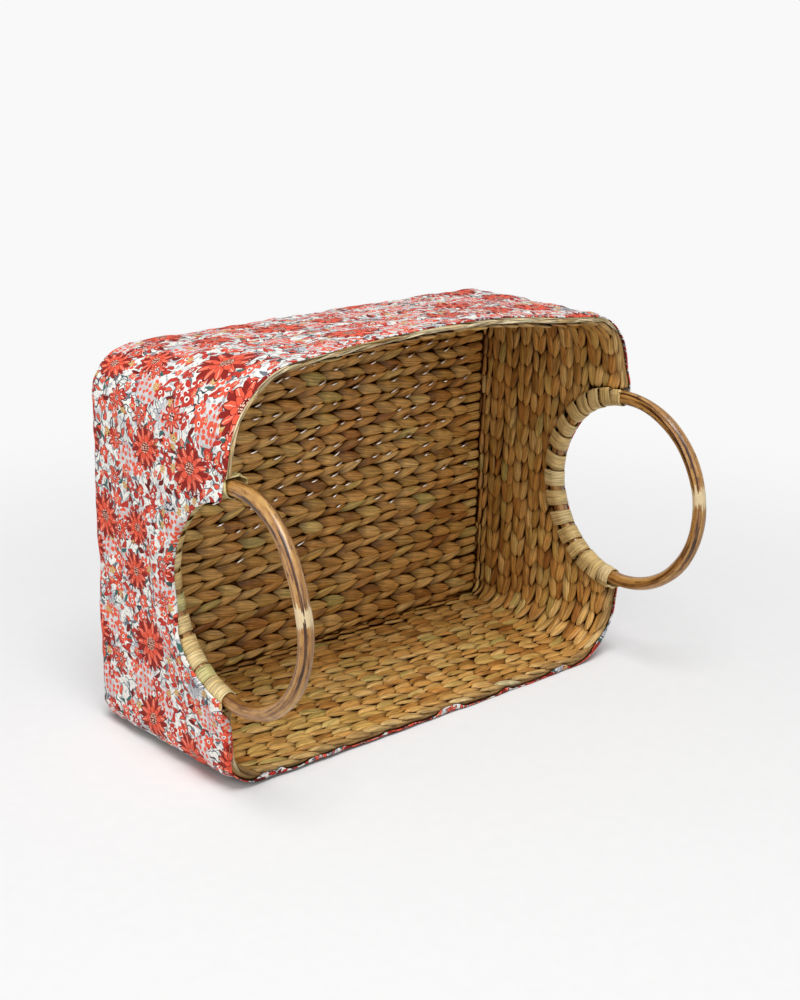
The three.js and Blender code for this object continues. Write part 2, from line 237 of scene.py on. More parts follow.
def facing(points, quads):
    """Above 0 where most faces look outwards."""
    a, b, c, d = (points[quads[:, i]] for i in range(4))
    return np.sum(np.cross(c - a, d - b) * (a + b + c + d) / 4)


class Shape:
    """Gathers closed tubes and sheets into one mesh with its point attributes."""

    def __init__(self):
        self.points = []
        self.faces = []
        self.attributes = {}
        self.count = 0

    def store(self, points, faces, attributes):
        self.points.append(points)
        self.faces.extend(faces)
        self.count += len(points)
        for key, values in attributes.items():
            shaped = np.asarray(values, float).reshape(len(points), -1)
            self.attributes.setdefault(key, []).append(shaped)

    def sheet(self, points, faces, attributes):
        """A closed sheet. points are n x 3. The faces are turned outwards."""
        volume = 0.0
        for face in faces:
            corner = points[face]
            for i in range(1, len(face) - 1):
                volume += np.dot(corner[0], np.cross(corner[i], corner[i + 1]))
        if volume < 0:
            faces = [face[::-1] for face in faces]
        self.store(points, [[i + self.count for i in face] for face in faces], attributes)

    def tubes(self, points, attributes, loop=False):
        """points are tube x ring x side x 3. Each tube is closed by two end faces, or is a loop."""
        count, rings, sides = points.shape[:3]
        base = np.arange(count)[:, None, None] * rings * sides
        ring = np.arange(rings if loop else rings - 1)[None, :, None]
        side = np.arange(sides)[None, None, :]
        here = base + ring * sides
        there = base + (ring + 1) % rings * sides
        turn = (side + 1) % sides
        quads = np.stack([here + side, here + turn, there + turn, there + side], axis=-1).reshape(-1, 4)
        flat = points.reshape(-1, 3)
        around = np.arange(sides)
        if facing(flat, quads) < 0:
            quads = quads[:, ::-1]
            around = around[::-1]
        faces = (quads + self.count).tolist()
        if not loop:
            for tube in range(count):
                first = self.count + tube * rings * sides
                last = first + (rings - 1) * sides
                faces.append((first + around[::-1]).tolist())
                faces.append((last + around).tolist())
        self.store(flat, faces, attributes)

    def make(self, name, material, nodes=()):
        points = (np.concatenate(self.points) + (0, MOUTH_PLACE, 0)) * MM
        mesh = bpy.data.meshes.new(name)
        mesh.from_pydata(points.tolist(), [], self.faces)
        mesh.polygons.foreach_set("use_smooth", np.ones(len(mesh.polygons), bool))
        for key, parts in self.attributes.items():
            values = np.concatenate(parts).astype(np.float32)
            kind, field = ("FLOAT_VECTOR", "vector") if values.shape[1] == 3 else ("FLOAT", "value")
            layer = mesh.attributes.new(key, kind, "POINT")
            layer.data.foreach_set(field, values.ravel())
        mesh.materials.append(material)
        mesh.validate()
        piece = put_in_scene(name, mesh)
        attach(piece, "root")
        if nodes:
            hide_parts(*nodes)
        return piece


# Leaves. The first line has stations from root to tip, the others go round a leaf's section.
LEAF_STEPS = np.array([0, 0.12, 0.25, 0.38, 0.5, 0.62, 0.74, 0.84, 0.92, 0.975, 1.0])
LEAF_ACROSS = np.array([-1, -0.74, -0.4, 0, 0.4, 0.74, 1, 0.5, -0.5])
LEAF_RISE = np.array([0, 0.70, 0.95, 1.0, 0.95, 0.70, 0, -0.45, -0.45])
LEAF_FOLDED = np.array([0, 0.8, 1, 1, 1, 0.8, 0, 0, 0])
LEAF_VARIES = {"length": 0.09, "width": 0.13, "thickness": 0.2, "lean": 0.3, "tip": 0.1}  # shares
LEAF_LEAN_SPREAD = 0.7
LEAF_SHIFT_SPREAD = 0.35
LEAF_ROLL_SPREAD = 0.10
LEAF_FOLD_SPREAD = 0.30
LEAF_TINT_SPREAD = 0.18
LEAF_TINT_LIMIT = 0.9
LEAF_GREEN = 0.035  # share of leaves that are still green
LEAF_SEEDS = 60
LEAF_ROOT_WIDTH = 0.70
LEAF_ROOT_END = 0.34
LEAF_TIP_WIDTH = 0.04
LEAF_TIP_START = 0.8
LEAF_TIP_RUN = 0.2
LEAF_TIP_DIP = 0.9
LEAF_CLIMB = 0.8
LEAF_CROWN = 0.7
LEAF_CURVE = 1.35
LEAF_PATH_MIDDLE = 0.58
# Painted shade: how much leaves are darkened at their sides and at their roots, under the leaf before
SIDE_PAINTED_SHADE = 0.8
ROOT_PAINTED_SHADE = 0.7
ROOT_PAINTED_SHADE_SPAN = (0.36, 0.16)
# The hidden core gets a dark tint and painted shade, so that the gaps between leaves look shaded
CORE_TINT = 0.2
CORE_PAINTED_SHADE = 0.6


def leaves(count, length, width, thickness, root, tip, lean, tint, spread=1.0, blunt=1.75):
    """Leaf bodies in millimetres along, across and above the course, tip forwards, and their attributes.
    lean is how far the tip lies across from the root."""
    each = (count, 1, 1)

    def vary(key):
        return 1 + spread * rng.uniform(-LEAF_VARIES[key], LEAF_VARIES[key], each)

    t = LEAF_STEPS[None, :, None]
    side = LEAF_ACROSS[None, None, :]
    rise = LEAF_RISE[None, None, :]
    long = length * vary("length")
    half = width / 2 * vary("width")
    thick = thickness * vary("thickness")
    lean = lean * vary("lean") + spread * rng.normal(0, LEAF_LEAN_SPREAD, each)
    shift = spread * rng.normal(0, LEAF_SHIFT_SPREAD, each)
    blade = mix(LEAF_ROOT_WIDTH, 1.0, smooth(0, LEAF_ROOT_END, t))
    point = 1 - np.clip(2 * t - 1, 0, 1) ** blunt
    swell = np.maximum(blade * point, LEAF_TIP_WIDTH)
    path = 1 - (1 - t) ** LEAF_CURVE
    slope = np.arctan(LEAF_CURVE * (1 - t) ** (LEAF_CURVE - 1) * lean / long)
    reach = half * swell * side
    along = (t - 0.5) * long - reach * np.sin(slope)
    across = shift + lean * (path - LEAF_PATH_MIDDLE) + reach * np.cos(slope)
    dip = LEAF_TIP_DIP * np.clip((t - LEAF_TIP_START) / LEAF_TIP_RUN, 0, 1) ** 2
    height = mix(root, tip * vary("tip"), t ** LEAF_CLIMB) - dip
    roll = spread * rng.normal(0, LEAF_ROLL_SPREAD, each)
    folds = rng.normal(0, LEAF_FOLD_SPREAD, (count, 1, len(LEAF_ACROSS))) * LEAF_FOLDED * swell
    height = height + thick * swell ** LEAF_CROWN * rise + reach * roll + folds
    shape = height.shape
    tints = np.clip(tint + rng.normal(0, LEAF_TINT_SPREAD, each), 0, LEAF_TINT_LIMIT)
    tints = np.where(rng.random(each) < LEAF_GREEN, 1.0, tints)
    # Painted shade at the sides, at the roots and on the undersides of the leaves, for the material to darken
    under = np.clip(-rise, 0, 1) * 2
    edge = np.clip(np.abs(side) ** 5 * SIDE_PAINTED_SHADE + ROOT_PAINTED_SHADE * smooth(*ROOT_PAINTED_SHADE_SPAN, t) + under, 0, 1)
    seed = rng.uniform(0, LEAF_SEEDS, each)
    attributes = {
        "leaf_place": stacked(t * long * MM, reach * MM, seed),
        "leaf_tint": np.broadcast_to(tints, shape),
        "leaf_edge": np.broadcast_to(edge, shape),
    }
    return np.broadcast_to(along, shape), np.broadcast_to(across, shape), height, attributes


def pick(attributes, keep):
    return {key: values[keep] for key, values in attributes.items()}


# Plaited walls
CORE_GAP = 0.2
CORE_TOP = 4.4
LEAF_PITCH = 15.6
LEAF_LENGTH = 24.0
LEAF_THICKNESS = 2.1
LEAF_BLUNT = 3.3
LEAF_JITTER = 0.8
LEAF_MIDDLE = 6.0  # height of a leaf's middle above the cover
LEAF_KEPT = 2.5  # a leaf whose middle is nearer to the cut-out is left out
LEAF_GAP = 0.4
PART_STEPS = 200
ROUND_STEPS = 440
COURSE_SHIFT = 0.17
COURSE_LEAF = 9.6
# Place across the course, lean, and how much later the leaves come
COURSE_ROWS = ((0.26, 3.8, 0.0), (0.74, -3.8, 0.06))
LAST_WIDTH = 9.0
# Distance from the start, lean, phase, leaf width, heights of root and tip, tint
LAST_ROWS = (
    (3.2, 3.0, 0.25, 8.2, 3.4, 5.8, 0.5),
    (7.8, -2.0, 0.4, 6.8, 5.0, 7.8, 0.42),
    (10.4, 0.0, 0.9, 5.4, 6.6, 8.6, 0.3),
)
# Distance from the base and height above the cover
LAST_CORE = ((11.0, 0.3), (5.5, 2.6), (2.6, 6.6), (2.6, 8.0))


def core(shape, rows, loop):
    """A hidden body that closes the gaps between leaves. It has a dark tint and painted shade, so it reads as
    shade where it shows between them.
    """
    tint = np.full(rows.shape[:-1], CORE_TINT)
    dark = np.full(rows.shape[:-1], CORE_PAINTED_SHADE)
    shape.tubes(rows, {"leaf_place": rows * MM, "leaf_tint": tint, "leaf_edge": dark}, loop)


def outline_rows(u, corners):
    """Rows along the outline, one for each corner of a section that is given as depths and insets."""
    return np.stack([wall_point(u, depth, inset) for depth, inset in corners], axis=1)[None]


def wall_core(shape, start, width, u, loop):
    low = COVERED + CORE_GAP
    high = COVERED + CORE_TOP
    first = start + CORE_GAP
    last = start + width - CORE_GAP
    rows = outline_rows(u, [(first, low), (last, low), (last, high), (first, high)])
    rows = clear_of_rings(rows, CUT_RADIUS + CLEARANCE)
    core(shape, flared(rows) if start < FIRST_COURSE else rows, loop)


def wall_row(depth, start_depth, width, lean, phase, leaf_width, root=3.4, tip=5.8, tint=0.5):
    """One row of leaves all the way round, tips running down the right end wall."""
    arc = Arc(start_depth + width / 2, COVERED + LEAF_MIDDLE)
    count = int(round(arc.total / LEAF_PITCH))
    pitch = arc.total / count
    along, across, height, attributes = leaves(
        count, LEAF_LENGTH, leaf_width, LEAF_THICKNESS, root, tip, lean, tint, blunt=LEAF_BLUNT)
    s = (np.arange(count) + phase) * pitch + rng.normal(0, LEAF_JITTER, count)
    points = wall_point(arc.u_at(s[:, None, None] - along), depth + across, COVERED + height)
    middle = wall_point(arc.u_at(s), depth, COVERED + LEAF_MIDDLE)
    keep = ~((np.abs(middle[:, 0]) > END_WALL) & (ring_reach(middle) < CUT_RADIUS + LEAF_KEPT))
    points = clear_of_rings(points, CUT_RADIUS + LEAF_GAP)
    return points[keep], pick(attributes, keep), middle[keep, 2] > RING_HEIGHT


def wall_courses(material):
    width = COURSE_PITCH - CLEARANCE
    phase = 0.0
    for index in range(COURSE_COUNT - 1):
        phase += rng.normal(0.0, COURSE_SHIFT)
        start = FIRST_COURSE + index * COURSE_PITCH
        rows = [wall_row(start + width * place, start, width, lean, phase + late, COURSE_LEAF)
                for place, lean, late in COURSE_ROWS]
        parts = {"": np.linspace(0, SEGMENTS, ROUND_STEPS, endpoint=False)}
        deep = start + width + RING_CENTRE_OUT
        if deep < CUT_RADIUS:
            cut = math.sqrt(CUT_RADIUS ** 2 - deep ** 2) / RING_HALF
            parts = {"_upper": np.linspace(cut, LEFT_RING - cut, PART_STEPS),
                     "_lower": np.linspace(LEFT_RING + cut, SEGMENTS - cut, PART_STEPS)}
        for part, u in parts.items():
            node = f"wall_course_{index + 1}{part}"
            shape = Shape()
            wall_core(shape, start, width, u, not part)
            for points, attributes, above in rows:
                keep = (above == (part == "_upper")) | (not part)
                shape.tubes(points[keep], pick(attributes, keep))
            shape.make(f"leaves_{node}", material, (node,))


def last_course(material):
    """The course at the base: one row of leaves and a cord of narrow strands in the corner."""
    start = FIRST_COURSE + (COURSE_COUNT - 1) * COURSE_PITCH
    first = start + CORE_GAP
    u = np.linspace(0, SEGMENTS, ROUND_STEPS, endpoint=False)
    corners = [(DEPTH - back, COVERED + height) for back, height in LAST_CORE]
    shape = Shape()
    core(shape, outline_rows(u, [(first, COVERED + CLEARANCE), *corners, (first, COVERED + CORE_TOP)]), True)
    for place, *leaf in LAST_ROWS:
        points, attributes = wall_row(start + place, start, LAST_WIDTH, *leaf)[:2]
        shape.tubes(points, attributes)
    shape.make(f"leaves_wall_course_{COURSE_COUNT}", material, (f"wall_course_{COURSE_COUNT}",))


# Plaited base
BASE_CORE_STEPS = 40
BASE_CORE_END = 0.5
BASE_LEAF_PITCH = 18.0
BASE_STRAIGHT = 13.0  # at both ends of a braid the leaves lie straight
BASE_PHASE_LIMIT = 0.5
BASE_LEAF_START = 0.2
BASE_LEAF_JITTER = 0.9
BASE_LEAF_END = 2.0
BASE_LEAF = {"length": 27.0, "thickness": 2.3, "root": 3.1, "tip": 5.8, "tint": 0.45}
BASE_ROWS = ((0.21, 5.2, 8.6), (0.67, -4.8, 11.6))  # place across the braid, lean, leaf width
END_LEAF = {"length": 26.0, "width": 8.6, "thickness": 2.0, "root": 4.2, "tip": 5.4, "lean": 0.5, "tint": 0.5,
            "spread": 0.6, "blunt": 5.0}
END_LEAF_PLACES = (0.25, 0.75)
END_LEAF_INSET = 9.0


def base_braids(material):
    back = DEPTH - COVERED
    width = BASE_BRAID_PITCH - CLEARANCE
    last = width - CORE_GAP
    corners = [(CORE_GAP, CORE_GAP), (last, CORE_GAP), (last, CORE_TOP), (CORE_GAP, CORE_TOP)]
    for index in range(BASE_BRAID_COUNT):
        node = f"base_braid_{index + 1:02d}"
        low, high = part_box(node)
        half = (high[0] - low[0]) / 2 / MM
        z = MAT_INSET + CLEARANCE / 2 + index * BASE_BRAID_PITCH
        shape = Shape()
        x = np.linspace(-half + BASE_CORE_END, half - BASE_CORE_END, BASE_CORE_STEPS)
        core(shape, np.stack([stacked(x, back - up, z + over) for over, up in corners], axis=1)[None], False)
        phase = rng.uniform(0, BASE_PHASE_LIMIT)
        run = 2 * (half - BASE_STRAIGHT)
        count = int(round(run / BASE_LEAF_PITCH))
        limit = half - BASE_LEAF_END
        for centre, lean, leaf_width in BASE_ROWS:
            along, across, height, attributes = leaves(count, width=leaf_width, lean=lean, **BASE_LEAF)
            spots = -half + BASE_STRAIGHT + (np.arange(count) + phase + BASE_LEAF_START) * run / count
            spots = spots + rng.normal(0, BASE_LEAF_JITTER, count)
            x = np.clip(spots[:, None, None] + along, -limit, limit)
            shape.tubes(stacked(x, back - height, z + width * centre + across), attributes)
        for centre in END_LEAF_PLACES:
            for end in (-1, 1):
                along, across, height, attributes = leaves(1, **END_LEAF)
                x = np.clip(end * (half - END_LEAF_INSET) + along * end, -half, half)
                shape.tubes(stacked(x, back - height, z + width * centre + across), attributes)
        shape.make(f"leaves_{node}", material, (node,))


STITCH_PITCH = 18.0
STITCH_REACH = 158.0
STITCH_ROWS = ((0.0, 0.5), (0.42, 0.9))  # place across a braid, and share of the chances
STITCH_CHANCE = (0.06, 0.8)
STITCH_MORE = 1.5  # towards the top
STITCH_LESS = 0.35
STITCH_JITTER = (3.0, 0.7)
STITCH_HALF = (2.2, 4.0)
STITCH_SLANT = (0.32, 0.12)
STITCH_RADIUS = 0.72
STITCH_TAPER = 0.75
STITCH_HEIGHT = 8.8
STITCH_SAG = 0.6
STITCH_RINGS = 5
STITCH_SIDES = 6


def stitches(material):
    """Short runs of white thread that show along the seams of the base braids, mostly in the upper half."""
    spots = []
    for index in range(1, BASE_BRAID_COUNT):
        z = MAT_INSET + index * BASE_BRAID_PITCH
        chance = np.clip(STITCH_MORE * (z / BASE_WIDTH) - STITCH_LESS, *STITCH_CHANCE)
        for x in np.arange(-STITCH_REACH, STITCH_REACH, STITCH_PITCH):
            for place, share in STITCH_ROWS:
                if rng.random() < chance * share:
                    moved_x = x + rng.normal(0, STITCH_JITTER[0])
                    spots.append((moved_x, z + BASE_BRAID_PITCH * place + rng.normal(0, STITCH_JITTER[1])))
    spots = np.array(spots)[:, :, None, None]
    each = (len(spots), 1, 1)
    t = np.linspace(-1, 1, STITCH_RINGS)[None, :, None]
    turn = (np.arange(STITCH_SIDES) / STITCH_SIDES * TURN)[None, None, :]
    along = t * rng.uniform(*STITCH_HALF, each)
    slant = rng.normal(*STITCH_SLANT, each)
    radius = STITCH_RADIUS * (1 - STITCH_TAPER * np.abs(t) ** 3)
    across = np.cos(turn) * radius + along * np.sin(slant)
    height = STITCH_HEIGHT + np.sin(turn) * radius - STITCH_SAG * t ** 2
    points = stacked(spots[:, 0] + along, DEPTH - COVERED - height, spots[:, 1] + across)
    shape = Shape()
    shape.tubes(points, {"leaf_place": points * MM})
    shape.make("seam_threads", material)


# Edge of the mouth
RIM_DEPTH = 1.5
RIM_INSET = 3.0
# Step, length, width, inset, depth and lean of each layer of strands
RIM_STRANDS = (
    (12.5, 31.0, 3.3, 2.5, 1.7, 1.9),
    (17.0, 27.0, 2.7, 3.4, 1.2, -1.7),
    (29.0, 40.0, 2.2, 1.6, 1.1, 0.7),
)
STRAND = {"thickness": 1.0, "root": 0.0, "tip": 1.3, "tint": 0.84}
STRAND_JITTER = 2.5
STRAND_INSET = 0.8
STRAND_MIDDLE = 4.0
STRAND_GAP = 0.6
RIM_END = 2.6  # the straw ends at the upper right corner of the mouth
EDGE_START = 0.8
EDGE_WIDTH = 3.4
EDGE_ROW = {"depth": 3.5, "start_depth": 0.6, "width": 4.0, "lean": 1.6, "phase": 0.3, "leaf_width": 6.4,
            "root": 2.4, "tip": 5.2, "tint": 0.3}
EDGE_UPPER = np.linspace(1.0, RIM_END + 0.2, 60)
EDGE_LOWER = np.linspace(8.0, 13.0, PART_STEPS)
EDGE_LEAVES_X = LENGTH / 2 - 40.0
EDGE_LEAVES_TOP = MOUTH_WIDTH - 12.0


def edge_leaves(shape, u, chosen):
    """Adds those leaves of one row along the edge that chosen picks by place and by being above the rings."""
    wall_core(shape, EDGE_START, EDGE_WIDTH, u, False)
    points, attributes, above = wall_row(**EDGE_ROW)
    points = flared(points)
    keep = chosen(points.mean(axis=(1, 2)), above)
    shape.tubes(points[keep], pick(attributes, keep))


def rim(material):
    """Flat straw strands that overlap along the upper edge of the mouth, and leaves along the rest of it."""
    arc = Arc(RIM_DEPTH, COVERED + RIM_INSET)
    shape = Shape()
    for layer, (step, length, width, inset, depth, lean) in enumerate(RIM_STRANDS):
        count = int(arc.total / step)
        along, across, height, attributes = leaves(count, length, width, lean=lean, **STRAND)
        s = (np.arange(count) + layer / len(RIM_STRANDS)) * arc.total / count
        s = s + rng.normal(0, STRAND_JITTER, count)
        u = arc.u_at(s[:, None, None] - along)
        points = wall_point(u, depth - height, np.maximum(inset + across, STRAND_INSET))
        middle = wall_point(arc.u_at(s), 0.0, STRAND_MIDDLE)
        rise = middle[:, 2] - RING_HEIGHT
        beside = (np.abs(middle[:, 0]) > END_WALL) & (np.abs(rise) < CUT_RADIUS)
        keep = ~beside & (rise > 0) & (arc.u_at(s) > RIM_END)
        points = clear_of_rings(points, CUT_RADIUS + STRAND_GAP)
        shape.tubes(points[keep], pick(attributes, keep))
    edge_leaves(shape, EDGE_UPPER, lambda place, above: (
        above & (place[:, 0] > EDGE_LEAVES_X) & (place[:, 2] < EDGE_LEAVES_TOP)))
    shape.make("straw_rim_upper", material, ("rim_strand_upper",))
    shape = Shape()
    edge_leaves(shape, EDGE_LOWER, lambda place, above: ~above)
    shape.make("straw_rim_lower", material, ("rim_strand_lower",))


# Cotton cover
CREASES = [(rng.uniform(0, PHASE_LIMIT), rng.uniform(0.5, 1.0)) for i in range(12)]  # phase and weight
CREASE_ALONG = (17.0, 9.3)  # length of the first wave, and how much longer each next one is
CREASE_ACROSS = (60.0, -3.7)
COVER_OFF = 0.4
COVER_LUMPS = 0.42
COVER_CREASED = 0.22
LEAF_LUMP = 0.4
COVER_EASE = 9.0


def ripple(s, depth):
    """How far the cotton stands off the plait: it follows the rows of leaves and is slightly creased."""
    course = np.cos(TURN * ((depth - FIRST_COURSE) / COURSE_PITCH - 0.5))
    lumps = course * (1 - LEAF_LUMP + LEAF_LUMP * np.cos(TURN * s / LEAF_PITCH))
    crease = np.zeros(np.broadcast(s, depth).shape)
    for i, (phase, weight) in enumerate(CREASES):
        along = TURN / (CREASE_ALONG[0] + CREASE_ALONG[1] * i)
        across = TURN / (CREASE_ACROSS[0] + CREASE_ACROSS[1] * i) * (1 if i % 2 else -1)
        crease = crease + weight * np.sin(along * s + across * depth + phase)
    return smooth(0, COVER_EASE, depth) * (COVER_OFF + COVER_LUMPS * lumps + COVER_CREASED * crease)


COLUMNS = {1: 9, 2: 18, 3: 72, 4: 18, 5: 3, 8: 6, 9: 14, 10: 80, 11: 14, 12: 6}
CUT_COLUMNS = 22
CUT_LAST_ANGLE = math.radians(84.4)
CUT_LAST_COLUMNS = (0.95, 0.985)


def cover_columns():
    """Stations round the outline. Beside the rings they are even steps of the cut-out's arc."""
    arc_steps = np.sin(np.linspace(0, CUT_LAST_ANGLE, CUT_COLUMNS)) * COVER_CUT / RING_HALF
    away = np.append(arc_steps, CUT_LAST_COLUMNS)
    towards = (1 - away[::-1])[:-1]
    stations = []
    for stretch in range(SEGMENTS):
        if stretch in COLUMNS:
            stations.extend(stretch + np.arange(COLUMNS[stretch]) / COLUMNS[stretch])
        else:
            stations.extend(stretch + (away if stretch in (0, LEFT_RING) else towards))
    return np.array(stations + [SEGMENTS - TINY])


def sheet_faces(columns, rows, loop):
    """Quads of a sheet with two faces, closed at its edges. A loop is left open at its last row. Points are
    face x column x row."""
    faces = []
    side = columns * rows
    for i in range(columns if loop else columns - 1):
        a = i * rows
        b = (i + 1) % columns * rows
        for k in range(rows - 1):
            faces.append([a + k, b + k, b + k + 1, a + k + 1])
            faces.append([side + a + k, side + a + k + 1, side + b + k + 1, side + b + k])
        faces.append([side + a, side + b, b, a])
        if not loop:
            k = rows - 1
            faces.append([a + k, b + k, side + b + k, side + a + k])
    if not loop:
        last = (columns - 1) * rows
        for k in range(rows - 1):
            faces.append([k, k + 1, side + k + 1, side + k])
            faces.append([last + k + 1, last + k, side + last + k, side + last + k + 1])
    return faces


CLOTH = 0.7
HEM = 0.9
HEM_ROWS = 3
WALL_ROWS = 52
EDGE_ROWS = 8
FLOOR_GAP = 0.1
BESIDE_RING = LENGTH / 2 - 1.0
DRAWN_LEFT = (-55.0, -20.0)
DRAWN_RIGHT = (-5.0, 40.0)
NOTCH = 2.0  # frees the last loop at the left ring's upper end
NOTCH_IN = (40.0, 58.0)
NOTCH_OUT = (79.0, 74.0)
PATCH_HEM = 4.2  # the hem shows in patches along the bottom
PATCH_TOP = 40.0
PATCH_FADE = 30.0
PATCH_LEVELS = (-0.4, 1.5)
LOW_HEM = 6.0  # below the left ring it shows all along
LOW_HEM_IN = (7.9, 8.2)
LOW_HEM_OUT = (9.5, 9.0)
RING_HEM = 4.5  # and beside the left ring it is turned in
RING_HEM_IN = (-45.0, -15.0)
RING_HEM_OUT = (58.0, 40.0)
COVER_LIFT_REACH = (92.0, 78.0)
LEFT_FLAT = 0.85  # the lift is less above the left ring
LEFT_FLAT_HEIGHT = (0.0, 60.0)


def cover_edge(u, s, middle, rise, on_left):
    """Depth at which the cotton starts at each station, and the width of its hem."""
    above = np.where(middle[..., 0] < 0, COVER_CUT_LEFT, COVER_CUT_ABOVE)
    drawn = np.where(on_left, smooth(*DRAWN_LEFT, rise), smooth(*DRAWN_RIGHT, rise))
    radius = mix(COVER_CUT, above, drawn)
    beside = (np.abs(middle[..., 0]) > BESIDE_RING) & (np.abs(rise) < radius)
    circle = np.sqrt(np.maximum(radius ** 2 - rise ** 2, 0)) - RING_CENTRE_OUT
    free = 0.3 + 0.5 * np.sin(s / 7.3) * np.sin(s / 19.0)
    first = np.where(beside, np.maximum(circle, free), free)
    first = np.maximum(first, NOTCH * hump(NOTCH_IN, NOTCH_OUT, rise) * on_left)
    below = np.clip((PATCH_TOP - middle[..., 2]) / PATCH_FADE, 0, 1)
    patches = np.sin(s / 9.0 + 1.0) + 0.8 * np.sin(s / 23.0) + 0.6 * np.sin(s / 5.1)
    hem = HEM + below * PATCH_HEM * smooth(*PATCH_LEVELS, patches)
    hem = np.maximum(hem, LOW_HEM * hump(LOW_HEM_IN, LOW_HEM_OUT, u))
    return first, np.maximum(hem, RING_HEM * hump(RING_HEM_IN, RING_HEM_OUT, rise) * on_left)


def cover_band(material):
    u = cover_columns()[:, None]
    arc = Arc(DEPTH / 2, 0)
    s = arc.s_at(u)
    middle = wall_point(u, 0.0, 0.0)
    rise = middle[..., 2] - RING_HEIGHT
    on_left = middle[..., 0] < -END_FACE
    on_end = np.abs(middle[..., 0]) > END_FACE
    first, hem = cover_edge(u, s, middle, rise, on_left)
    last = DEPTH - BASE_EDGE_RADIUS
    folded = np.linspace(1, 0, HEM_ROWS, endpoint=False)[None, :]
    wall_depth = mix(first, last, np.linspace(0, 1, WALL_ROWS, endpoint=False)[None, :])
    turn = np.linspace(0, QUARTER, EDGE_ROWS)[None, :]

    def rows(hem_part, wall_part, edge_part):
        counted = ((hem_part, HEM_ROWS), (wall_part, WALL_ROWS), (edge_part, EDGE_ROWS))
        return np.concatenate([np.broadcast_to(part, (len(u), count)) for part, count in counted], axis=1)

    fade = rows(0.0, 1.0, np.cos(turn))
    surface = rows(first - hem * folded, wall_depth, last + BASE_EDGE_RADIUS * turn)
    place = stacked(s * MM, surface * MM, 0.0)
    skins = []
    for skin in (0.0, CLOTH):
        radius = BASE_EDGE_RADIUS - skin
        depth = rows(first - CLOTH + skin, wall_depth, last + radius * np.sin(turn))
        inset = rows(mix(skin, hem, folded), skin, BASE_EDGE_RADIUS - radius * np.cos(turn))
        lift = COVER_LIFT * smooth(*COVER_LIFT_REACH, np.hypot(depth + RING_CENTRE_OUT, rise)) * on_end
        lift = lift * (1 - LEFT_FLAT * smooth(*LEFT_FLAT_HEIGHT, rise) * on_left)
        points = wall_point(u, depth, inset - fade * ripple(s, depth) - lift)
        points[..., 2] = np.maximum(points[..., 2], FLOOR_GAP + skin)
        skins.append(points)
    shape = Shape()
    shape.sheet(np.stack(skins).reshape(-1, 3), sheet_faces(*skins[0].shape[:2], False),
                {"cloth_place": np.stack([place, place])})
    band = shape.make("cotton_side_band", material, ("cover_side_band",))
    height = last - COVER_EDGE_DROP + BASE_EDGE_RADIUS * QUARTER
    chord = RING_CENTRE_OUT * math.sqrt(COVER_CUT ** 2 - RING_CENTRE_OUT ** 2)
    seat = COVER_CUT ** 2 * math.acos(RING_CENTRE_OUT / COVER_CUT) - chord
    flat = (arc.total * MM, height * MM)
    flat[0] * flat[1] - 2 * seat * MM * MM


PANEL_COLUMNS = 220
PANEL_SHARES = np.linspace(1, 0.06, 17)  # from the edge to the middle
PANEL_EASE = 0.1
PANEL_LUMPS = 0.16
PANEL_CREASED = 0.1
PANEL_DROP = 0.1
PANEL_PRINT = (2000.0, 400.0)  # the panel is cut from another place on the cloth


def cover_panel(material):
    u = np.linspace(0, SEGMENTS, PANEL_COLUMNS, endpoint=False)
    edge = wall_point(u, DEPTH, BASE_EDGE_RADIUS + CLEARANCE)
    middle = np.array([0, DEPTH, BASE_WIDTH / 2])
    grid = middle + (edge - middle)[:, None, :] * PANEL_SHARES[None, :, None]
    x, z = grid[..., 0], grid[..., 2]
    ease = np.clip((1 - PANEL_SHARES) / PANEL_EASE, 0, 1)[None, :]
    swell = PANEL_LUMPS * np.cos(TURN * (z - MAT_INSET) / BASE_BRAID_PITCH)
    swell = swell + PANEL_CREASED * np.sin(x / 13 + z / 29)
    skins = [stacked(x, DEPTH - skin + ease * (swell - PANEL_DROP), z) for skin in (0.0, CLOTH)]
    tips = [middle - (0, PANEL_DROP + skin, 0) for skin in (0.0, CLOTH)]
    points = np.concatenate([np.stack(skins).reshape(-1, 3), tips])
    columns, rows = x.shape
    side = columns * rows
    faces = sheet_faces(columns, rows, True)
    for i in range(columns):
        a = (i + 1) * rows - 1
        b = (i + 1) % columns * rows + rows - 1
        faces.append([a, b, 2 * side])
        faces.append([side + b, side + a, 2 * side + 1])
    place = stacked(points[:, 0] + PANEL_PRINT[0], points[:, 2] + PANEL_PRINT[1], 0.0) * MM
    shape = Shape()
    shape.sheet(points, faces, {"cloth_place": place})
    panel = shape.make("cotton_base_panel", material, ("cover_base_panel",))


# Rings and lashings
RING_STEPS = 160
RING_SIDES = 20
RING_FLAT_ANGLE = 2.5
RING_FLAT_REACH = 0.5
CANE_TRIM = 0.05
CANE_WOBBLES = ((0.10, 5), (0.08, 11))  # height and count of the waves along the cane
CANE_GROOVE = 0.12
CANE_ROUND = 0.004


def ring_point(side, angle, radius, across):
    leaning = RING_LEAN * smooth(*RING_LEAN_HEIGHT, radius * np.sin(angle)) if side < 0 else 0.0
    return stacked(
        side * (RING_PLANE + across) + leaning,
        radius * np.cos(angle) - RING_CENTRE_OUT,
        radius * np.sin(angle) + RING_HEIGHT)


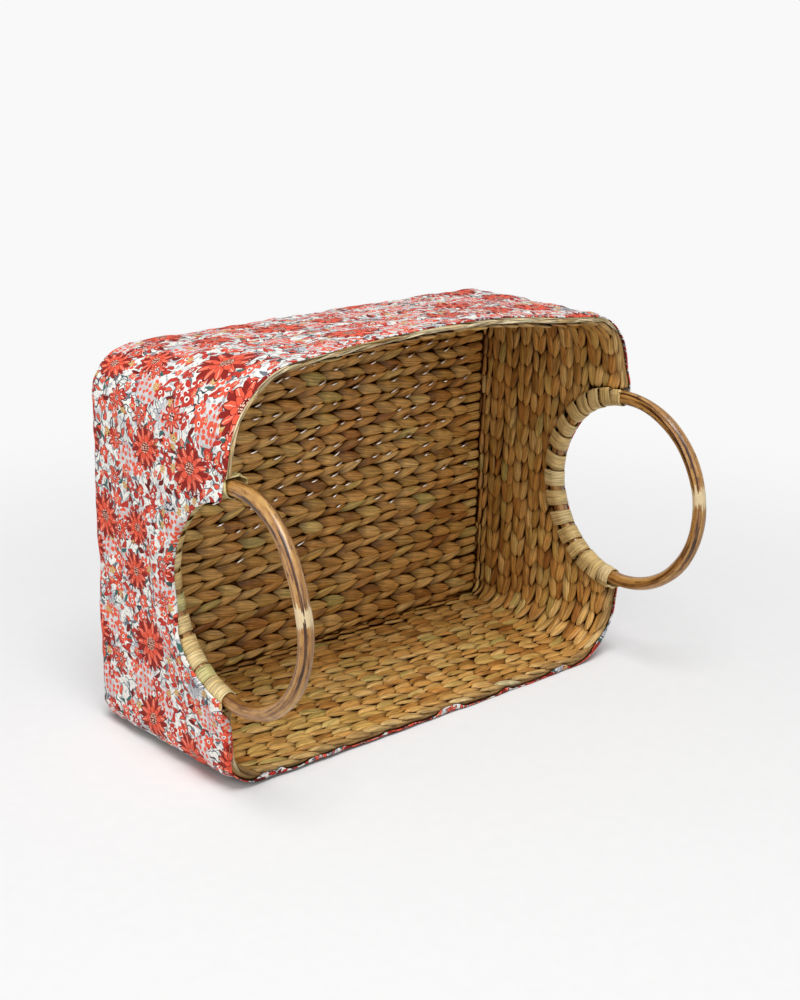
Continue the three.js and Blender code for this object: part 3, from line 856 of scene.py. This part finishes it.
def ring(material, name, side):
    angle = (np.arange(RING_STEPS) / RING_STEPS * TURN)[:, None]
    turn = (np.arange(RING_SIDES) / RING_SIDES * TURN)[None, :]
    phase = rng.uniform(0, PHASE_LIMIT, 4)  # the last is drawn only to keep the later draws as they are
    wobble = sum(height * np.sin(count * angle + phase[i]) for i, (height, count) in enumerate(CANE_WOBBLES))
    groove = CANE_GROOVE * np.cos(3 * turn + 2 * np.sin(angle + phase[2]))
    thick = CANE_RADIUS - CANE_TRIM + wobble + groove
    flat = RING_FLAT * np.exp(-((angle - RING_FLAT_ANGLE) / RING_FLAT_REACH) ** 2) if side < 0 else 0.0
    points = ring_point(side, angle, CANE_CENTRE - flat + thick * np.cos(turn), thick * np.sin(turn))
    outward = np.mod(angle + math.pi, TURN) - math.pi
    reach = CANE_CENTRE * MM
    from_joint = (math.pi - np.abs(outward)) * np.sign(outward) * reach
    shape = Shape()
    shape.tubes(points[None], {
        "cane_place": stacked(angle * reach, turn * CANE_RADIUS * MM, 0.4 + 0.3 * side),
        "cane_joint": np.broadcast_to(from_joint, points.shape[:-1]),
        "cane_round": stacked(np.cos(angle) * reach, np.sin(angle) * reach, np.cos(turn) * CANE_ROUND),
    }, True)
    shape.make(f"cane_ring_{name}", material, (f"ring_handle_{name}",))


STRIP_ACROSS = np.array([-1, -0.62, -0.2, 0.2, 0.62, 1])
STRIP_HALF = (6.0, 4.7)  # in the middle of a lashing and at its ends
STRIP_HALF_FADE = 1.6
STRIP_VARIES = (0.93, 1.06)
STRIP_TILT = (0.02, 0.07)
STRIP_SKEW = 0.012
STRIP_LIFT = (0.0, 0.35)
STRIP_THICK = 0.42
STRIP_ROUND = 0.35
STRIP_RUN = 1.6
STRIP_SEED = 3.7
STRIP_GREEN = 0.12  # share of green loops
STRIP_TINTS = (0.3, 0.88)
STRIP_TINTS_LEFT = (0.9, 1.0)  # the upper loops on the left are all greenish
STRIP_TINT_START = 0.3
DRAWN_MIDDLE = 2.4
DRAWN_ENDS = 3.0
DRAWN_ENDS_START = 0.7
LEFT_SHORTER = 0.955
# Shares of the way round a loop: leaving the wall, on to the cane, off it and back in the wall.
# For each side, how much of the step to the next loop is made by then.
LOOP_SHARES = (0, 0.25, 0.75, 1)
LOOP_STEPS = {-1: (0, 0.06, 0.2, 1), 1: (0, 0.8, 0.94, 1)}
LOOP_END = 0.1
BEND_STEPS = 4
CANE_STEPS = 16
LEG_STEPS = 3


def loop_angle(hole):
    share = hole / LASHING_LOOPS
    return LASHING_SPAN * (share - LASHING_GATHER / TURN * math.sin(TURN * share) - 0.5)


def loop_path():
    """One loop: radius from the ring's middle, place across its plane, the way that the strip faces, and the
    share of the loop that is done."""
    bend_radius = HOLE_RADIUS - LASHING_BEND
    bend_across = LASHING_LEG - LASHING_BEND
    path = [(HOLE_RADIUS, -bend_across, 0.0, 0.0)]

    def bend(radius, across, size, first, step, count, share, share_step=0.0):
        for i in range(count):
            a = first + i * step
            path.append((radius + size * math.cos(a), across + size * math.sin(a), a, share + i * share_step))

    def leg(first, last, across, face, share):
        for i in range(1, LEG_STEPS):
            path.append((mix(first, last, i / LEG_STEPS), across, face, share + 0.25 * i / LEG_STEPS))

    bend_step = QUARTER / BEND_STEPS
    cane_step = math.pi / CANE_STEPS
    bend(bend_radius, bend_across, LASHING_BEND, 0.0, bend_step, BEND_STEPS + 1, 0.0)
    leg(bend_radius, CANE_CENTRE, LASHING_LEG, QUARTER, 0.0)
    bend(CANE_CENTRE, 0.0, LASHING_LEG, QUARTER, cane_step, CANE_STEPS + 1, 0.25, 0.5 / CANE_STEPS)
    leg(CANE_CENTRE, bend_radius, -LASHING_LEG, 3 * QUARTER, 0.75)
    bend(bend_radius, -bend_across, LASHING_BEND, 3 * QUARTER, bend_step, BEND_STEPS, 1.0)
    return path


def lashing(material, name, side):
    """One strip wound round the ring and through the wall, loop after loop. It steps on to the next loop
    inside the basket on the left and under the cotton on the right, and lies square to the cane elsewhere."""
    path = loop_path()
    legs = LOOP_STEPS[side]
    middle = (legs[1] + legs[2]) / 2
    q = np.concatenate([STRIP_ACROSS, STRIP_ACROSS[::-1]])
    top = np.repeat([1.0, -1.0], len(STRIP_ACROSS))
    rows, places, tints = [], [], []
    for loop in range(LASHING_LOOPS):
        place = (loop + 0.5) / LASHING_LOOPS * 2 - 1
        half = mix(*STRIP_HALF, abs(place) ** STRIP_HALF_FADE) * rng.uniform(*STRIP_VARIES)
        tilt = rng.uniform(*STRIP_TILT)
        skew = rng.normal(0, STRIP_SKEW)
        lift = rng.uniform(*STRIP_LIFT)
        drawn_in = DRAWN_MIDDLE * (1 - place ** 2) + DRAWN_ENDS * smooth(DRAWN_ENDS_START, 1.0, abs(place))
        tint = 1.0 if rng.random() < STRIP_GREEN else rng.uniform(*STRIP_TINTS)
        if side < 0 and place > STRIP_TINT_START:
            tint = rng.uniform(*STRIP_TINTS_LEFT)
        for radius, across, face, share in path:
            hole = loop + np.interp(share, LOOP_SHARES, legs) - middle + 0.5
            over = math.sin(share * math.pi)
            angle = loop_angle(np.clip(hole, LOOP_END, LASHING_LOOPS - LOOP_END)) + skew * over
            if side < 0 and angle < 0:
                angle = angle * LEFT_SHORTER
            thick = STRIP_THICK * top * (1 - STRIP_ROUND * q ** 2) + tilt * q * half * over + lift * over
            r = radius - (drawn_in if radius > CANE_CENTRE + LASHING_LEG else 0) + thick * math.cos(face)
            a = angle + q * half / max(radius, CANE_CENTRE)
            rows.append(ring_point(side, a, r, across + thick * math.sin(face)))
            places.append(stacked(len(rows) * STRIP_RUN * MM, q * half * MM, loop * STRIP_SEED))
            tints.append(np.full(len(q), tint))
    shape = Shape()
    shape.tubes(np.array(rows)[None], {"leaf_place": np.array(places), "leaf_tint": np.array(tints)})
    shape.make(f"palm_lashing_{name}", material, (f"ring_lashing_{name}",))


# Materials
class Value:
    """An output of a node. Arithmetic with it adds nodes to its tree."""

    def __init__(self, shade, socket):
        self.shade = shade
        self.socket = socket

    def joined(self, operation, *others):
        kind = "ShaderNodeMath" if self.socket.type == "VALUE" else "ShaderNodeVectorMath"
        return self.shade.out(kind, dict(enumerate((self, *others))), operation=operation)

    def __add__(self, other):
        return self.joined("ADD", other)

    def __sub__(self, other):
        return self.joined("SUBTRACT", other)

    def __mul__(self, other):
        return self.joined("MULTIPLY", other)

    def __pow__(self, other):
        return self.joined("POWER", other)

    def __lt__(self, other):
        return self.joined("LESS_THAN", other)

    def __gt__(self, other):
        return self.joined("GREATER_THAN", other)

    def __abs__(self):
        return self.joined("ABSOLUTE")

    def sine(self):
        return self.joined("SINE")

    def larger(self, other):
        return self.joined("MAXIMUM", other)

    def length(self):
        return self.shade.out("ShaderNodeVectorMath", {0: self}, 1, operation="LENGTH")


class Shade:
    """The node tree of a material or a world, written as calls."""

    def __init__(self, owner, output="ShaderNodeOutputMaterial"):
        owner.use_nodes = True
        self.owner = owner
        self.tree = owner.node_tree
        self.tree.nodes.clear()
        self.output = self.tree.nodes.new(output)

    def put(self, socket, value):
        if isinstance(value, Value):
            self.tree.links.new(value.socket, socket)
        elif socket.type == "RGBA":
            socket.default_value = (*value, 1)
        else:
            socket.default_value = value

    def node(self, kind, inputs=(), **settings):
        node = self.tree.nodes.new(kind)
        for key, value in settings.items():
            setattr(node, key, value)
        for key, value in dict(inputs).items():
            self.put(node.inputs[key], value)
        return node

    def outs(self, kind, inputs, outputs, **settings):
        node = self.node(kind, inputs, **settings)
        return [Value(self, node.outputs[key]) for key in outputs]

    def out(self, kind, inputs=(), output=0, **settings):
        return self.outs(kind, inputs, (output,), **settings)[0]

    def attribute(self, name, output="Vector"):
        return self.out("ShaderNodeAttribute", (), output, attribute_name=name)

    def parts(self, vector):
        return self.outs("ShaderNodeSeparateXYZ", {0: vector}, (0, 1, 2))

    def grey(self, value):
        return self.out("ShaderNodeCombineColor", {0: value, 1: value, 2: value})

    def blend(self, share, a, b, mode="MIX"):
        return self.out("ShaderNodeMix", {0: share, 6: a, 7: b}, 2, data_type="RGBA", blend_type=mode)

    def noise(self, vector, scale=1.0, detail=2.0, rough=0.5, kind="3D"):
        inputs = {"Vector": vector, "Scale": scale, "Detail": detail, "Roughness": rough}
        return self.out("ShaderNodeTexNoise", inputs, noise_dimensions=kind)

    def between(self, value, low, high, to_low=0.0, to_high=1.0):
        inputs = {"Value": value, "From Min": low, "From Max": high, "To Min": to_low, "To Max": to_high}
        return self.out("ShaderNodeMapRange", inputs, interpolation_type="SMOOTHSTEP")

    def open_sky(self, distance, samples):
        return self.out("ShaderNodeAmbientOcclusion", {"Distance": distance}, "AO", samples=samples)

    def ramp(self, value, stops):
        node = self.node("ShaderNodeValToRGB", {"Fac": value})
        elements = node.color_ramp.elements
        while len(elements) < len(stops):
            elements.new(0.5)
        for element, (position, colour) in zip(elements, stops):
            element.position = position
            element.color = (*colour, 1)
        return Value(self, node.outputs[0])

    def end(self, shader):
        self.put(self.output.inputs["Surface"], shader)
        return self.owner

    def finish(self, colour, roughness, bump, strength, distance, **constants):
        normal = self.out("ShaderNodeBump", {"Strength": strength, "Distance": distance, "Height": bump})
        inputs = {"Base Color": colour, "Roughness": roughness, "Normal": normal}
        inputs.update({key.replace("_", " "): value for key, value in constants.items()})
        return self.end(self.out("ShaderNodeBsdfPrincipled", inputs))


LEAF_FIBRE = (60.0, 1150.0, 1.0)  # noise per metre along and across a leaf
LEAF_MOTTLE = (90.0, 220.0, 3.1)
LEAF_COOLER = (0.86, 0.96, 0.84)
LEAF_WARMER = (0.98, 0.86, 0.72)
# Painted shade: near black at leaf edges and roots, a darker tint and near-black shadows in crevices
LEAF_PAINTED_EDGE_SHADE = (0.022, 0.008, 0.002)
LEAF_PAINTED_CREVICE_SHADE = (0.42, 0.30, 0.20)
LEAF_SHADOW = (0.016, 0.005, 0.001)
STRAW_SHADOW = (0.12, 0.055, 0.015)
SEAGRASS_STOPS = [
    (0.0, (0.330, 0.125, 0.024)), (0.3, (0.590, 0.290, 0.070)), (0.6, (0.750, 0.435, 0.130)),
    (0.86, (0.850, 0.565, 0.215)), (0.95, (0.640, 0.460, 0.135)), (1.0, (0.580, 0.435, 0.135))]
STRAW_STOPS = [
    (0.0, (0.40, 0.22, 0.065)), (0.5, (0.68, 0.44, 0.16)), (0.9, (0.94, 0.80, 0.52)),
    (1.0, (0.70, 0.58, 0.30))]
PALM_STOPS = [
    (0.0, (0.54, 0.35, 0.12)), (0.5, (0.66, 0.47, 0.19)), (0.88, (0.76, 0.59, 0.30)),
    (1.0, (0.52, 0.46, 0.18))]


def leaf_material(name, stops, rough, edge_painted_shade, crevice=0.0, shadow=LEAF_SHADOW, varied=False):
    """Dried leaf: a tint for each leaf, fibres along it, painted shade at its roots and edges and, where
    asked, in crevices, soft shine.
    """
    shade = Shade(bpy.data.materials.new(name))
    place = shade.attribute("leaf_place")
    fibre = shade.noise(place * LEAF_FIBRE, 1.0, 3.0, 0.6)
    mottle = shade.between(shade.noise(place * LEAF_MOTTLE), 0.25, 0.75, -0.12, 0.12)
    tint = {0: shade.attribute("leaf_tint", "Fac"), 1: mottle}
    colour = shade.ramp(shade.out("ShaderNodeMath", tint, operation="ADD", use_clamp=True), stops)
    if varied:
        seed = shade.parts(place)[2]
        own = shade.out("ShaderNodeTexWhiteNoise", {"W": seed}, "Value", noise_dimensions="1D")
        colour = shade.blend(shade.between(own, 0.55, 0.95, 0.0, 0.8), colour, LEAF_COOLER, "MULTIPLY")
        colour = shade.blend(shade.between(own, 0.45, 0.05, 0.0, 0.8), colour, LEAF_WARMER, "MULTIPLY")
    grain = shade.between(fibre, 0.36, 0.64, 0.58, 1.22)
    colour = shade.blend(1.0, colour, shade.grey(grain), "MULTIPLY")
    if edge_painted_shade:
        # Painted shade at the sides, roots and undersides of leaves
        colour = shade.blend(shade.attribute("leaf_edge", "Fac") * edge_painted_shade, colour, LEAF_PAINTED_EDGE_SHADE)
    shine = 0.35
    if crevice:
        # Painted shade in crevices: where AO finds the leaf closed in, the colour is tinted darker and then
        # taken towards a deep shadow colour
        sky = shade.open_sky(crevice, 8)
        colour = shade.blend(shade.between(sky, 0.55, 1.0, 1.0, 0.0), colour, LEAF_PAINTED_CREVICE_SHADE, "MULTIPLY")
        colour = shade.blend(shade.between(sky, 0.42, 0.82, 0.98, 0.0), colour, shadow)
        shine = shade.between(sky, 0.65, 0.98, 0.0, 0.36)
    roughness = shade.between(fibre, 0.3, 0.7, rough - 0.07, rough + 0.1)
    return shade.finish(colour, roughness, fibre, 0.6, 0.0008, Specular_IOR_Level=shine)


CANE_STREAK = (16.0, 430.0, 9.0)
CANE_MOTTLE = (160.0, 420.0, 5.0)
CANE_STOPS = [(0.36, (0.58, 0.335, 0.100)), (0.5, (0.37, 0.170, 0.042)), (0.62, (0.15, 0.056, 0.013))]
CANE_BURNT = (0.040, 0.013, 0.005)
CANE_SPECK = (0.06, 0.02, 0.008)
CANE_SCRAPED = (0.74, 0.58, 0.34)
BURNT_UPWARDS = 2.0  # the upper half of a ring is burnt more
JOINT_PLACE = 0.013
JOINT_EDGE = (0.0062, 0.0048)
JOINT_TEETH = 0.036


def cane_material():
    """Varnished cane: tan to brown, with burnt streaks along it and a pale scraped joint."""
    shade = Shade(bpy.data.materials.new("cane_varnished"))
    across, seed = shade.parts(shade.attribute("cane_place"))[1:]
    round_place = shade.attribute("cane_round")
    joint = shade.attribute("cane_joint", "Fac")
    stretch = shade.out("ShaderNodeCombineXYZ", {0: joint, 1: across, 2: seed})
    streak = shade.noise(stretch * CANE_STREAK, 1.0, 4.0, 0.6)
    mottle = shade.noise(stretch * CANE_MOTTLE, 1.0, 3.0, 0.6)
    patch = shade.noise(round_place, 30.0) + shade.parts(round_place)[1] * BURNT_UPWARDS
    colour = shade.ramp(streak * 0.6 + mottle * 0.4, CANE_STOPS)
    burnt = shade.between(streak, 0.515, 0.60) * shade.between(patch, 0.38, 0.56, 0.15, 1.0)
    colour = shade.blend(burnt, colour, CANE_BURNT)
    speck = shade.between(mottle, 0.60, 0.68) * shade.between(patch, 0.45, 0.6)
    colour = shade.blend(speck, colour, CANE_SPECK)
    near = abs(joint - JOINT_PLACE) + (streak - 0.5) * JOINT_TEETH
    colour = shade.blend(shade.between(near, *JOINT_EDGE) * 0.9, colour, CANE_SCRAPED)
    roughness = shade.between(mottle, 0.3, 0.7, 0.24, 0.38)
    return shade.finish(colour, roughness, streak, 0.35, 0.0005, Coat_Weight=0.15, Coat_Roughness=0.15,
                        Specular_IOR_Level=0.4)


GROUND = (0.90, 0.88, 0.82)
PALE_GREY = (0.52, 0.525, 0.55)
MID_GREY = (0.42, 0.42, 0.46)
DARK_GREY = (0.26, 0.27, 0.31)
SMUDGE = (0.40, 0.41, 0.44)
SLATE = (0.16, 0.18, 0.21)
BERRY_GROUND = (0.70, 0.68, 0.68)
CORAL = (0.84, 0.112, 0.058)
PALE_CORAL = (0.90, 0.56, 0.42)
RED = (0.54, 0.040, 0.026)
MAROON = (0.150, 0.011, 0.009)
DARK_RED = (0.27, 0.017, 0.012)
NAVY = (0.030, 0.034, 0.055)
TEAL = (0.045, 0.130, 0.120)
DARK_TEAL = (0.05, 0.09, 0.09)
OCHRE = (0.66, 0.38, 0.12)
PALE_OCHRE = (0.80, 0.62, 0.35)
# Painted contact shadow on the cotton near the floor
CONTACT_PAINTED_SHADE = (0.030, 0.008, 0.008)
# Tones of a flower: its face, the depth between petals, their tips, the outline and the fine marks
GREY_FLOWER = (PALE_GREY, MID_GREY, GROUND, DARK_GREY, GROUND)
LARGE_FLOWER = (CORAL, RED, CORAL, MAROON, PALE_CORAL)
SMALL_FLOWER = (CORAL, RED, CORAL, MAROON, GROUND)
WEAVE = 14.0


class Print:
    """An all-over print of made-up flowers, leaves and vines, drawn in millimetres on the flat cloth."""

    def __init__(self, shade, place):
        self.shade = shade
        self.place = place * (1000.0, 1000.0, 0.0)
        self.drawn = self.wandering(self.place, 0.16, 2.2)

    def wandering(self, place, scale, reach):
        """Places moved to and fro, so that what is drawn there is not quite regular."""
        inputs = {"Vector": place, "Scale": scale, "Detail": 1.0}
        wander = self.shade.out("ShaderNodeTexNoise", inputs, 1, noise_dimensions="2D")
        return place + (wander - (0.5, 0.5, 0.5)) * (reach, reach, 0.0)

    def voronoi(self, place, size, loose, outputs, feature):
        inputs = {"Vector": place, "Scale": 1 / size, "Randomness": loose}
        settings = {"voronoi_dimensions": "2D", "feature": feature}
        return self.shade.outs("ShaderNodeTexVoronoi", inputs, outputs, **settings)

    def cells(self, size, shift, loose=0.75):
        """The place in the nearest cell, from its middle, and three random numbers for that cell."""
        moved = self.drawn + (*shift, 0.0)
        middle, random = self.voronoi(moved, size, loose, ("Position", "Color"), "F1")
        return moved - middle, self.shade.parts(random)

    def polar(self, local, spin):
        x, y = self.shade.parts(local)[:2]
        return y.joined("ARCTAN2", x) + spin * TURN, local.length()

    def petals(self, angle, radius, count, reach, waist, sharp):
        """Inside a ring of petals, with 0 between them and 1 at the middle of each."""
        wave = abs((angle * (count / 2)).sine()) ** sharp
        return radius < wave.joined("MULTIPLY_ADD", reach * (1 - waist), reach * waist), wave

    def blossom(self, colour, size, shift, reach, share, tones, count, loose=0.7, behind=None):
        """A layered flower: outlined pointed petals, shorter ones on them and a dotted middle."""
        shade = self.shade
        face, deep, tip, line, fine = tones
        local, random = self.cells(size, shift, loose)
        angle, radius = self.polar(local, random[0])
        radius = radius * shade.between(random[2], 0.0, 1.0, 0.88, 1.3)
        on = random[1] < share
        if behind:
            back = self.petals(angle + math.pi / count, radius, count, reach * 1.08, 0.42, 1.8)[0]
            colour = shade.blend(back * on, colour, behind)
        outline = self.petals(angle, radius, count, reach, 0.44, 1.1)[0]
        colour = shade.blend(outline * on, colour, line)
        outer = self.petals(angle, radius, count, reach - 1.2, 0.36, 1.2)[0]
        vein = shade.between(abs((angle * count).sine()), 0.32, 0.16) * (radius > reach * 0.3)
        tone = shade.blend(shade.between(radius, reach * 0.5, reach, 0.0, 0.7), face, tip)
        colour = shade.blend(outer * on, colour, shade.blend(vein * 0.75, tone, fine))
        turned = angle + 0.4
        outline = self.petals(turned, radius, count - 2, reach * 0.62, 0.55, 0.9)[0]
        colour = shade.blend(outline * on, colour, line)
        inner, wave = self.petals(turned, radius, count - 2, reach * 0.62 - 0.45, 0.52, 0.9)
        colour = shade.blend(inner * on, colour, shade.blend(shade.between(wave, 0.2, 0.8), deep, face))
        eye = (radius < reach * 0.27) * on
        colour = shade.blend(eye, colour, line)
        spot = self.cells(1.5, (2.0, 5.0), 0.4)[0]
        return shade.blend(eye * (spot.length() < 0.5), colour, fine)

    def daisy(self, colour, size, shift, reach, share, tones, count):
        shade = self.shade
        face, other, line, middle = tones
        local, random = self.cells(size, shift)
        angle, radius = self.polar(local, random[0])
        on = random[1] < share
        inside, wave = self.petals(angle, radius, count, reach, 0.45, 0.7)
        tone = shade.blend(random[2] > 0.6, face, other)
        colour = shade.blend(inside * on, colour, shade.blend(shade.between(wave, 0.0, 0.4), line, tone))
        colour = shade.blend((radius < reach * 0.34) * on, colour, middle)
        return shade.blend((radius < reach * 0.16) * on, colour, line)

    def leaf(self, colour, size, shift, long, wide, share, tones):
        """Scattered pointed leaves of two colours, each turned its own way."""
        shade = self.shade
        local, random = self.cells(size, shift, 0.9)
        turn = {"Vector": local, "Angle": random[0] * TURN}
        x, y = shade.parts(shade.out("ShaderNodeVectorRotate", turn, rotation_type="Z_AXIS"))[:2]
        end = x * (1 / long)
        width = (end * end) * -wide + wide
        inside = abs(y + (end * end) * (wide * 0.7)) < width
        tone = shade.blend(random[2] > 0.5, *tones)
        return shade.blend(inside * (random[1] < share), colour, tone)

    def berries(self, colour, size, shift, reach, share, ground, dot, fine):
        """Round heads filled with small dots."""
        local, random = self.cells(size, shift)
        head = (local.length() < reach) * (random[1] < share)
        spot = self.cells(fine, (7.0, 3.0), 0.45)[0]
        colour = self.shade.blend(head * 0.75, colour, ground)
        return self.shade.blend(head * (spot.length() < fine * 0.33), colour, dot)

    def vines(self, colour, size, shift, width, tone):
        """Thin wandering stems with gaps in them."""
        moved = self.place + (*shift, 0.0)
        bent = self.wandering(moved, 0.07, 26.0)
        line = self.voronoi(bent, size, 0.9, ("Distance",), "DISTANCE_TO_EDGE")[0] < width / size / 2
        there = self.shade.noise(moved, 0.05, 0.0, 0.5, "2D") > 0.38
        return self.shade.blend(line * there, colour, tone)


def cotton_material():
    shade = Shade(bpy.data.materials.new("cotton_floral"))
    art = Print(shade, shade.attribute("cloth_place"))
    wash = shade.noise(art.place, 0.10, kind="2D")
    colour = shade.blend(shade.between(wash, 0.52, 0.62, 0.0, 0.45), GROUND, PALE_GREY)
    smudge = shade.noise(art.drawn, 0.30, 2.0, 0.6, "2D")
    colour = shade.blend(shade.between(smudge, 0.55, 0.62, 0.0, 0.85), colour, SMUDGE)
    colour = art.blossom(colour, 34.0, (3.0, 11.0), 11.0, 0.45, GREY_FLOWER, 9)
    colour = art.vines(colour, 24.0, (50.0, 90.0), 0.95, NAVY)
    colour = art.vines(colour, 33.0, (190.0, 20.0), 0.95, DARK_TEAL)
    colour = art.leaf(colour, 7.2, (44.0, 18.0), 3.5, 1.75, 0.74, (NAVY, MAROON))
    colour = art.leaf(colour, 7.2, (44.0, 18.0), 2.9, 1.25, 0.74, (CORAL, RED))
    colour = art.leaf(colour, 9.5, (31.0, 5.0), 4.0, 1.2, 0.45, (TEAL, SLATE))
    colour = art.leaf(colour, 9.0, (12.0, 47.0), 4.6, 1.6, 0.50, (MAROON, RED))
    colour = art.berries(colour, 38.0, (61.0, 29.0), 11.0, 0.7, BERRY_GROUND, CORAL, 4.4)
    colour = art.daisy(colour, 14.0, (77.0, 13.0), 5.0, 0.55, (CORAL, RED, MAROON, GROUND), 6)
    colour = art.daisy(colour, 9.0, (19.0, 83.0), 2.9, 0.30, (CORAL, OCHRE, MAROON, PALE_OCHRE), 5)
    colour = art.blossom(colour, 50.0, (5.0, 71.0), 15.0, 0.66, LARGE_FLOWER, 10, 0.6, DARK_RED)
    colour = art.blossom(colour, 30.0, (93.0, 37.0), 8.5, 0.40, SMALL_FLOWER, 8)
    x, y = shade.parts(art.place)[:2]
    weave = (x * WEAVE).sine() * (y * WEAVE).sine()
    slub = shade.noise(art.place, 0.8, 3.0, 0.6, "2D")
    colour = shade.blend(1.0, colour, shade.grey(shade.between(slub, 0.3, 0.7, 0.9, 1.06)), "MULTIPLY")
    # Painted contact shadow: the cotton is darkened towards near-black red where AO finds it closed in, only
    # below about 22 mm above the floor
    level = shade.parts(shade.out("ShaderNodeNewGeometry", (), "Position"))[2]
    crevice = shade.between(shade.open_sky(0.012, 6), 0.10, 0.60, 0.85, 0.0)
    contact_painted_shade = crevice * shade.between(level, 0.022, 0.008)
    colour = shade.blend(contact_painted_shade, colour, CONTACT_PAINTED_SHADE)
    roughness = shade.between(slub, 0.3, 0.7, 0.78, 0.92)
    return shade.finish(colour, roughness, weave * 0.25 + slub, 0.35, 0.0003, Sheen_Weight=0.04,
                        Sheen_Roughness=0.5, Specular_IOR_Level=0.15)


THREAD_TWIST = (2600.0, 2600.0, 2600.0)
THREAD_STOPS = [(0.3, (0.90, 0.90, 0.90)), (0.7, (0.98, 0.98, 0.98))]


def thread_material():
    shade = Shade(bpy.data.materials.new("thread_white"))
    twist = shade.noise(shade.attribute("leaf_place") * THREAD_TWIST)
    roughness = shade.between(twist, 0.3, 0.7, 0.18, 0.34)
    return shade.finish(shade.ramp(twist, THREAD_STOPS), roughness, twist, 0.3, 0.0002, Metallic=0.85)


# The pieces
# Seagrass and straw leaves get painted shade at their edges and roots and in crevices; palm strips get none
seagrass = leaf_material("seagrass_leaf", SEAGRASS_STOPS, 0.38, 0.8, 0.0040, varied=True)
straw = leaf_material("straw_pale", STRAW_STOPS, 0.5, 0.45, 0.0016, STRAW_SHADOW)
palm = leaf_material("palm_strip", PALM_STOPS, 0.42, 0.0)
cane = cane_material()
cotton = cotton_material()
thread = thread_material()
base_braids(seagrass)
wall_courses(seagrass)
last_course(seagrass)
stitches(thread)
rim(straw)
cover_band(cotton)
cover_panel(cotton)
for name, side in (("left", -1), ("right", 1)):
    ring(cane, name, side)
    lashing(palm, name, side)

# Camera, fitted to the photo
CAMERA_PLACE = Vector((-0.71536, -0.81088, 0.51523))
CAMERA_YAW = math.radians(41.093)
CAMERA_PITCH = math.radians(18.578)
CAMERA_ROLL = math.radians(1.084)
camera_data = bpy.data.cameras.new("photo_camera")
camera_data.sensor_width = 36
camera_data.lens = 59.956
camera_data.clip_start = 0.01
camera = put_in_scene("photo_camera", camera_data)
camera.matrix_world = (
    Matrix.Translation(CAMERA_PLACE) @ Matrix.Rotation(-CAMERA_YAW, 4, "Z")
    @ Matrix.Rotation(QUARTER - CAMERA_PITCH, 4, "X") @ Matrix.Rotation(CAMERA_ROLL, 4, "Z"))
bpy.context.scene.camera = camera

# Floor and light
BACKDROP = (0.945, 0.945, 0.945)
SKY = (0.98, 0.99, 1.0)
SKY_STRENGTH = 0.22
FLOOR_REACH = 6.0
SEEN_RAYS = ("Is Camera Ray", "Is Glossy Ray", "Is Transmission Ray")


def floor():
    shade = Shade(bpy.data.materials.new("studio_floor"))
    camera_ray, glossy_ray, through_ray = shade.outs("ShaderNodeLightPath", (), SEEN_RAYS)
    seen = camera_ray.larger(glossy_ray.larger(through_ray))
    spot = shade.out("ShaderNodeNewGeometry", (), "Position")
    paper = shade.between(shade.noise(spot, 90.0), 0.3, 0.7, 0.86, 0.88)
    matte = shade.out("ShaderNodeBsdfDiffuse", {"Color": shade.grey(paper)})
    glow = shade.out("ShaderNodeEmission", {"Color": BACKDROP, "Strength": 1.0})
    apart = (spot * (1.0, 1.0, 0.0)).length()
    share = shade.between(apart, 0.22, 0.8, 0.46, 1.0) * shade.between(shade.open_sky(0.035, 8), 0.40, 0.95)
    shade.end(shade.out("ShaderNodeMixShader", {0: seen * share, 1: matte, 2: glow}))
    mesh = bpy.data.meshes.new("studio_floor")
    corners = [(x * FLOOR_REACH, y * FLOOR_REACH, 0) for x, y in ((-1, -1), (1, -1), (1, 1), (-1, 1))]
    mesh.from_pydata(corners, [], [[0, 1, 2, 3]])
    mesh.materials.append(shade.owner)
    ground = put_in_scene("studio_floor", mesh)


def lamp(name, place, aim, size, energy):
    data = bpy.data.lights.new(name, "AREA")
    data.shape = "DISK"
    data.size = size
    data.energy = energy
    light = put_in_scene(name, data)
    light.location = place
    light.rotation_euler = (Vector(aim) - Vector(place)).to_track_quat("-Z", "Y").to_euler()


def studio_world():
    shade = Shade(bpy.data.worlds.new("studio_world"), "ShaderNodeOutputWorld")
    camera_ray, glossy_ray = shade.outs("ShaderNodeLightPath", (), SEEN_RAYS[:2])
    soft = shade.out("ShaderNodeBackground", {"Color": SKY, "Strength": SKY_STRENGTH})
    seen = shade.out("ShaderNodeBackground", {"Color": BACKDROP, "Strength": 1.0})
    join = shade.out("ShaderNodeMixShader", {0: camera_ray.larger(glossy_ray), 1: soft, 2: seen})
    bpy.context.scene.world = shade.end(join)


floor()
lamp("key_overhead", (-0.55, -0.70, 2.1), (0.0, 0.0, 0.1), 1.1, 36.0)
lamp("fill_left", (-2.0, 0.2, 0.8), (0.0, 0.0, 0.12), 1.6, 10.5)
lamp("fill_front", (-0.5, -2.0, 1.4), (0.0, 0.0, 0.12), 1.2, 9.0)
studio_world()
bpy.context.scene.view_settings.view_transform = "Standard"
